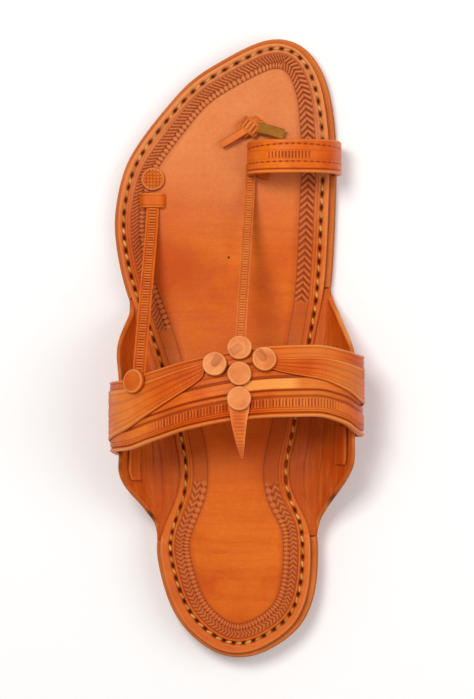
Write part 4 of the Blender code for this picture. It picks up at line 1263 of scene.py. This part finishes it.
handIn(makeLoop(), "strap_leather", strapLeather, "strap_loop")

knot = {
    "diameter": 0.0086,
    "gap": 0.0028,
    "ladder": 0.0016,
    "wraps": (  # name, turn, reach, top, width, thickness, points along
        ("knotOver", -38, 0.0039, 0.0045, 0.0060, 0.0013, 110),
        ("knotUnder", 42, 0.0044, 0.0034, 0.0046, 0.0013, 110),
        ("knotCore", 5, 0.0036, 0.0008, 0.0054, 0.0032, 60),
    ),
    "over": ((-1.0, 0.02), (-0.93, 0.42), (-0.55, 0.86), (0.0, 1.0), (0.55, 0.86), (0.93, 0.42), (1.0, 0.02)),
    "ends": (  # name, width, thickness, leather, path in diameters
        ("knotEndRight", 0.0048, 0.0015, fleshSide,
         ((0.30, -0.03, 0.32), (0.95, -0.18, 0.44), (1.72, -0.40, 0.30))),
        ("knotEndLeft", 0.0036, 0.0028, tailLeather,
         ((-0.20, -0.16, 0.28), (-0.85, -0.55, 0.26), (-1.50, -0.91, 0.10))),
    ),
    "tucked": ((0.0012, 0.0040), (0.0045, 0.0006), (0.0082, -0.0004)),  # the thong's turn behind the ring
    "tuckedWidth": 0.0030,
    "tuckedThickness": 0.0018,
}


# plain straps: no tooling, their edges darkened as painted shade
def plainRelief(at, c):
    return 0 * at, 0.8 * nearEdge(c, 0.12), 0


def makeKnot():
    y = ringPlace() + toeRing["depth"] / 2 + knot["gap"] + knot["diameter"] / 2
    x = thongPoints()[0][0]
    foot = np.array((x, y, float(insoleTopAt(y)) + shoe["gap"]))
    wraps = []
    for name, turn, reach, top, width, thickness, count in knot["wraps"]:
        way = np.array((math.cos(math.radians(turn)), math.sin(math.radians(turn)), 0.0))
        path = [foot + way * reach * s + np.array((0, 0, top * z)) for s, z in knot["over"]]
        relief = plainRelief if wraps else ladderRelief(knot["ladder"], 0.10)
        wraps.append(strapPiece(name, path, width, thickness, relief, count))
    for piece in wraps:
        handIn(piece, "strap_leather", tanLeather, "toe_knot")
    for name, width, thickness, material, places in knot["ends"]:
        path = [foot + np.array(place) * knot["diameter"] for place in places]
        piece = strapPiece(name, path, width, thickness, plainRelief, 60)
        handIn(piece, "strap_leather", material, "toe_knot")
    behind = ringPlace() - toeRing["depth"] / 2
    path = [(x + dx, behind + dy, float(insoleTopAt(behind + dy)) + shoe["gap"]) for dx, dy in knot["tucked"]]
    turned = strapPiece("thongTurn", path, knot["tuckedWidth"], knot["tuckedThickness"], plainRelief, 50)
    handIn(turned, "strap_leather", strapLeather)


makeKnot()

laces = {
    "length": 0.0170,
    "thickness": 0.0013,
    "past": 0.004,
    "ends": {  # side, low edge, high edge
        "lace_end_lateral": (-1, 0.70, 0.88),
        "lace_end_medial": (1, 0.72, 0.90),
    },
}


def makeLace(node, side, low, high):
    start = shoe["rear"] + ear["start"][side]
    bandRear = bandPoint(np.array([0.0 if side < 0 else 180.0]), np.array([1.0]))[0][1]
    first = (bandRear + laces["past"] - start) / ear["length"][side]
    u = first - laces["length"] / ear["length"][side] * np.linspace(0, 1, 60)
    under = ear["wall"] + shoe["gap"]
    sheet = []
    for c in np.linspace(0, 1, 16):
        height = laces["thickness"] * (1 - 0.28 * nearEdge(c, 0.15))
        addRow(sheet, earRow(side, u, low + (high - low) * c, under + height), 0.1, 0.5 * nearEdge(c, 0.12))
    # the lace's lower edges, where it lies on the ear, darkened as painted shade
    for c in (1.0, 0.0):
        addRow(sheet, earRow(side, u, low + (high - low) * c, under), 0, 0, 0.6)
    piece = gridPiece("laceEnd" + ("Lateral" if side < 0 else "Medial"), sheet)
    handIn(piece, "strap_leather", earLeather, node)


for node, (side, low, high) in laces["ends"].items():
    makeLace(node, side, low, high)
print("small strips are made")


# floor, light and camera

view = {"foot": (0.063, 0.106), "height": 1.30, "aim": (-0.001, 0.1145, 0.012), "frame": 0.316}


def plain(name, colour, roughness):
    made = bpy.data.materials.new(name)
    made.use_nodes = True
    shader = made.node_tree.nodes["Principled BSDF"]
    shader.inputs["Base Color"].default_value = (*colour, 1.0)
    shader.inputs["Roughness"].default_value = roughness
    return made


deselect()
bpy.ops.mesh.primitive_plane_add(size=6.0, location=(0, 0, -0.0002))
floorPiece = bpy.context.active_object
floorPiece.name = "floor"
floorPiece.data.materials.append(plain("paleFloor", (0.97, 0.97, 0.97), 0.9))


def areaLight(name, place, size, power, colour=(1, 1, 1)):
    deselect()
    bpy.ops.object.light_add(type="AREA", location=place)
    lamp = bpy.context.active_object
    lamp.name = name
    lamp.data.size = size
    lamp.data.energy = power
    lamp.data.color = colour
    away = Vector((0.0, 0.11, 0.0)) - Vector(place)
    lamp.rotation_euler = away.to_track_quat("-Z", "Y").to_euler()


areaLight("keyLight", (-0.28, 0.50, 1.22), 0.42, 9.2, (1.0, 0.98, 0.95))
areaLight("fillLight", (0.75, 0.15, 0.95), 0.80, 4.2)
world = bpy.data.worlds.new("paleWorld")
bpy.context.scene.world = world
world.use_nodes = True
world.node_tree.nodes["Background"].inputs["Color"].default_value = (1.0, 1.0, 1.0, 1.0)
world.node_tree.nodes["Background"].inputs["Strength"].default_value = 0.41

camera = bpy.data.objects.new("camera", bpy.data.cameras.new("camera"))
bpy.context.scene.collection.objects.link(camera)
camera.location = (view["foot"][0], view["foot"][1], view["height"])
aim = Vector(view["aim"]) - camera.location
forward = aim.normalized()
right = forward.cross(Vector((0, 1, 0))).normalized()
upward = right.cross(forward)
facing = Matrix((right, upward, -forward)).transposed().to_4x4()
camera.matrix_world = Matrix.Translation(camera.location) @ facing
camera.data.sensor_fit = "VERTICAL"
sensorHeight = 24.0
camera.data.sensor_height = sensorHeight
camera.data.lens = sensorHeight * aim.length / view["frame"]
bpy.context.scene.camera = camera
bpy.context.scene.view_settings.view_transform = "Standard"
print("stage is set")
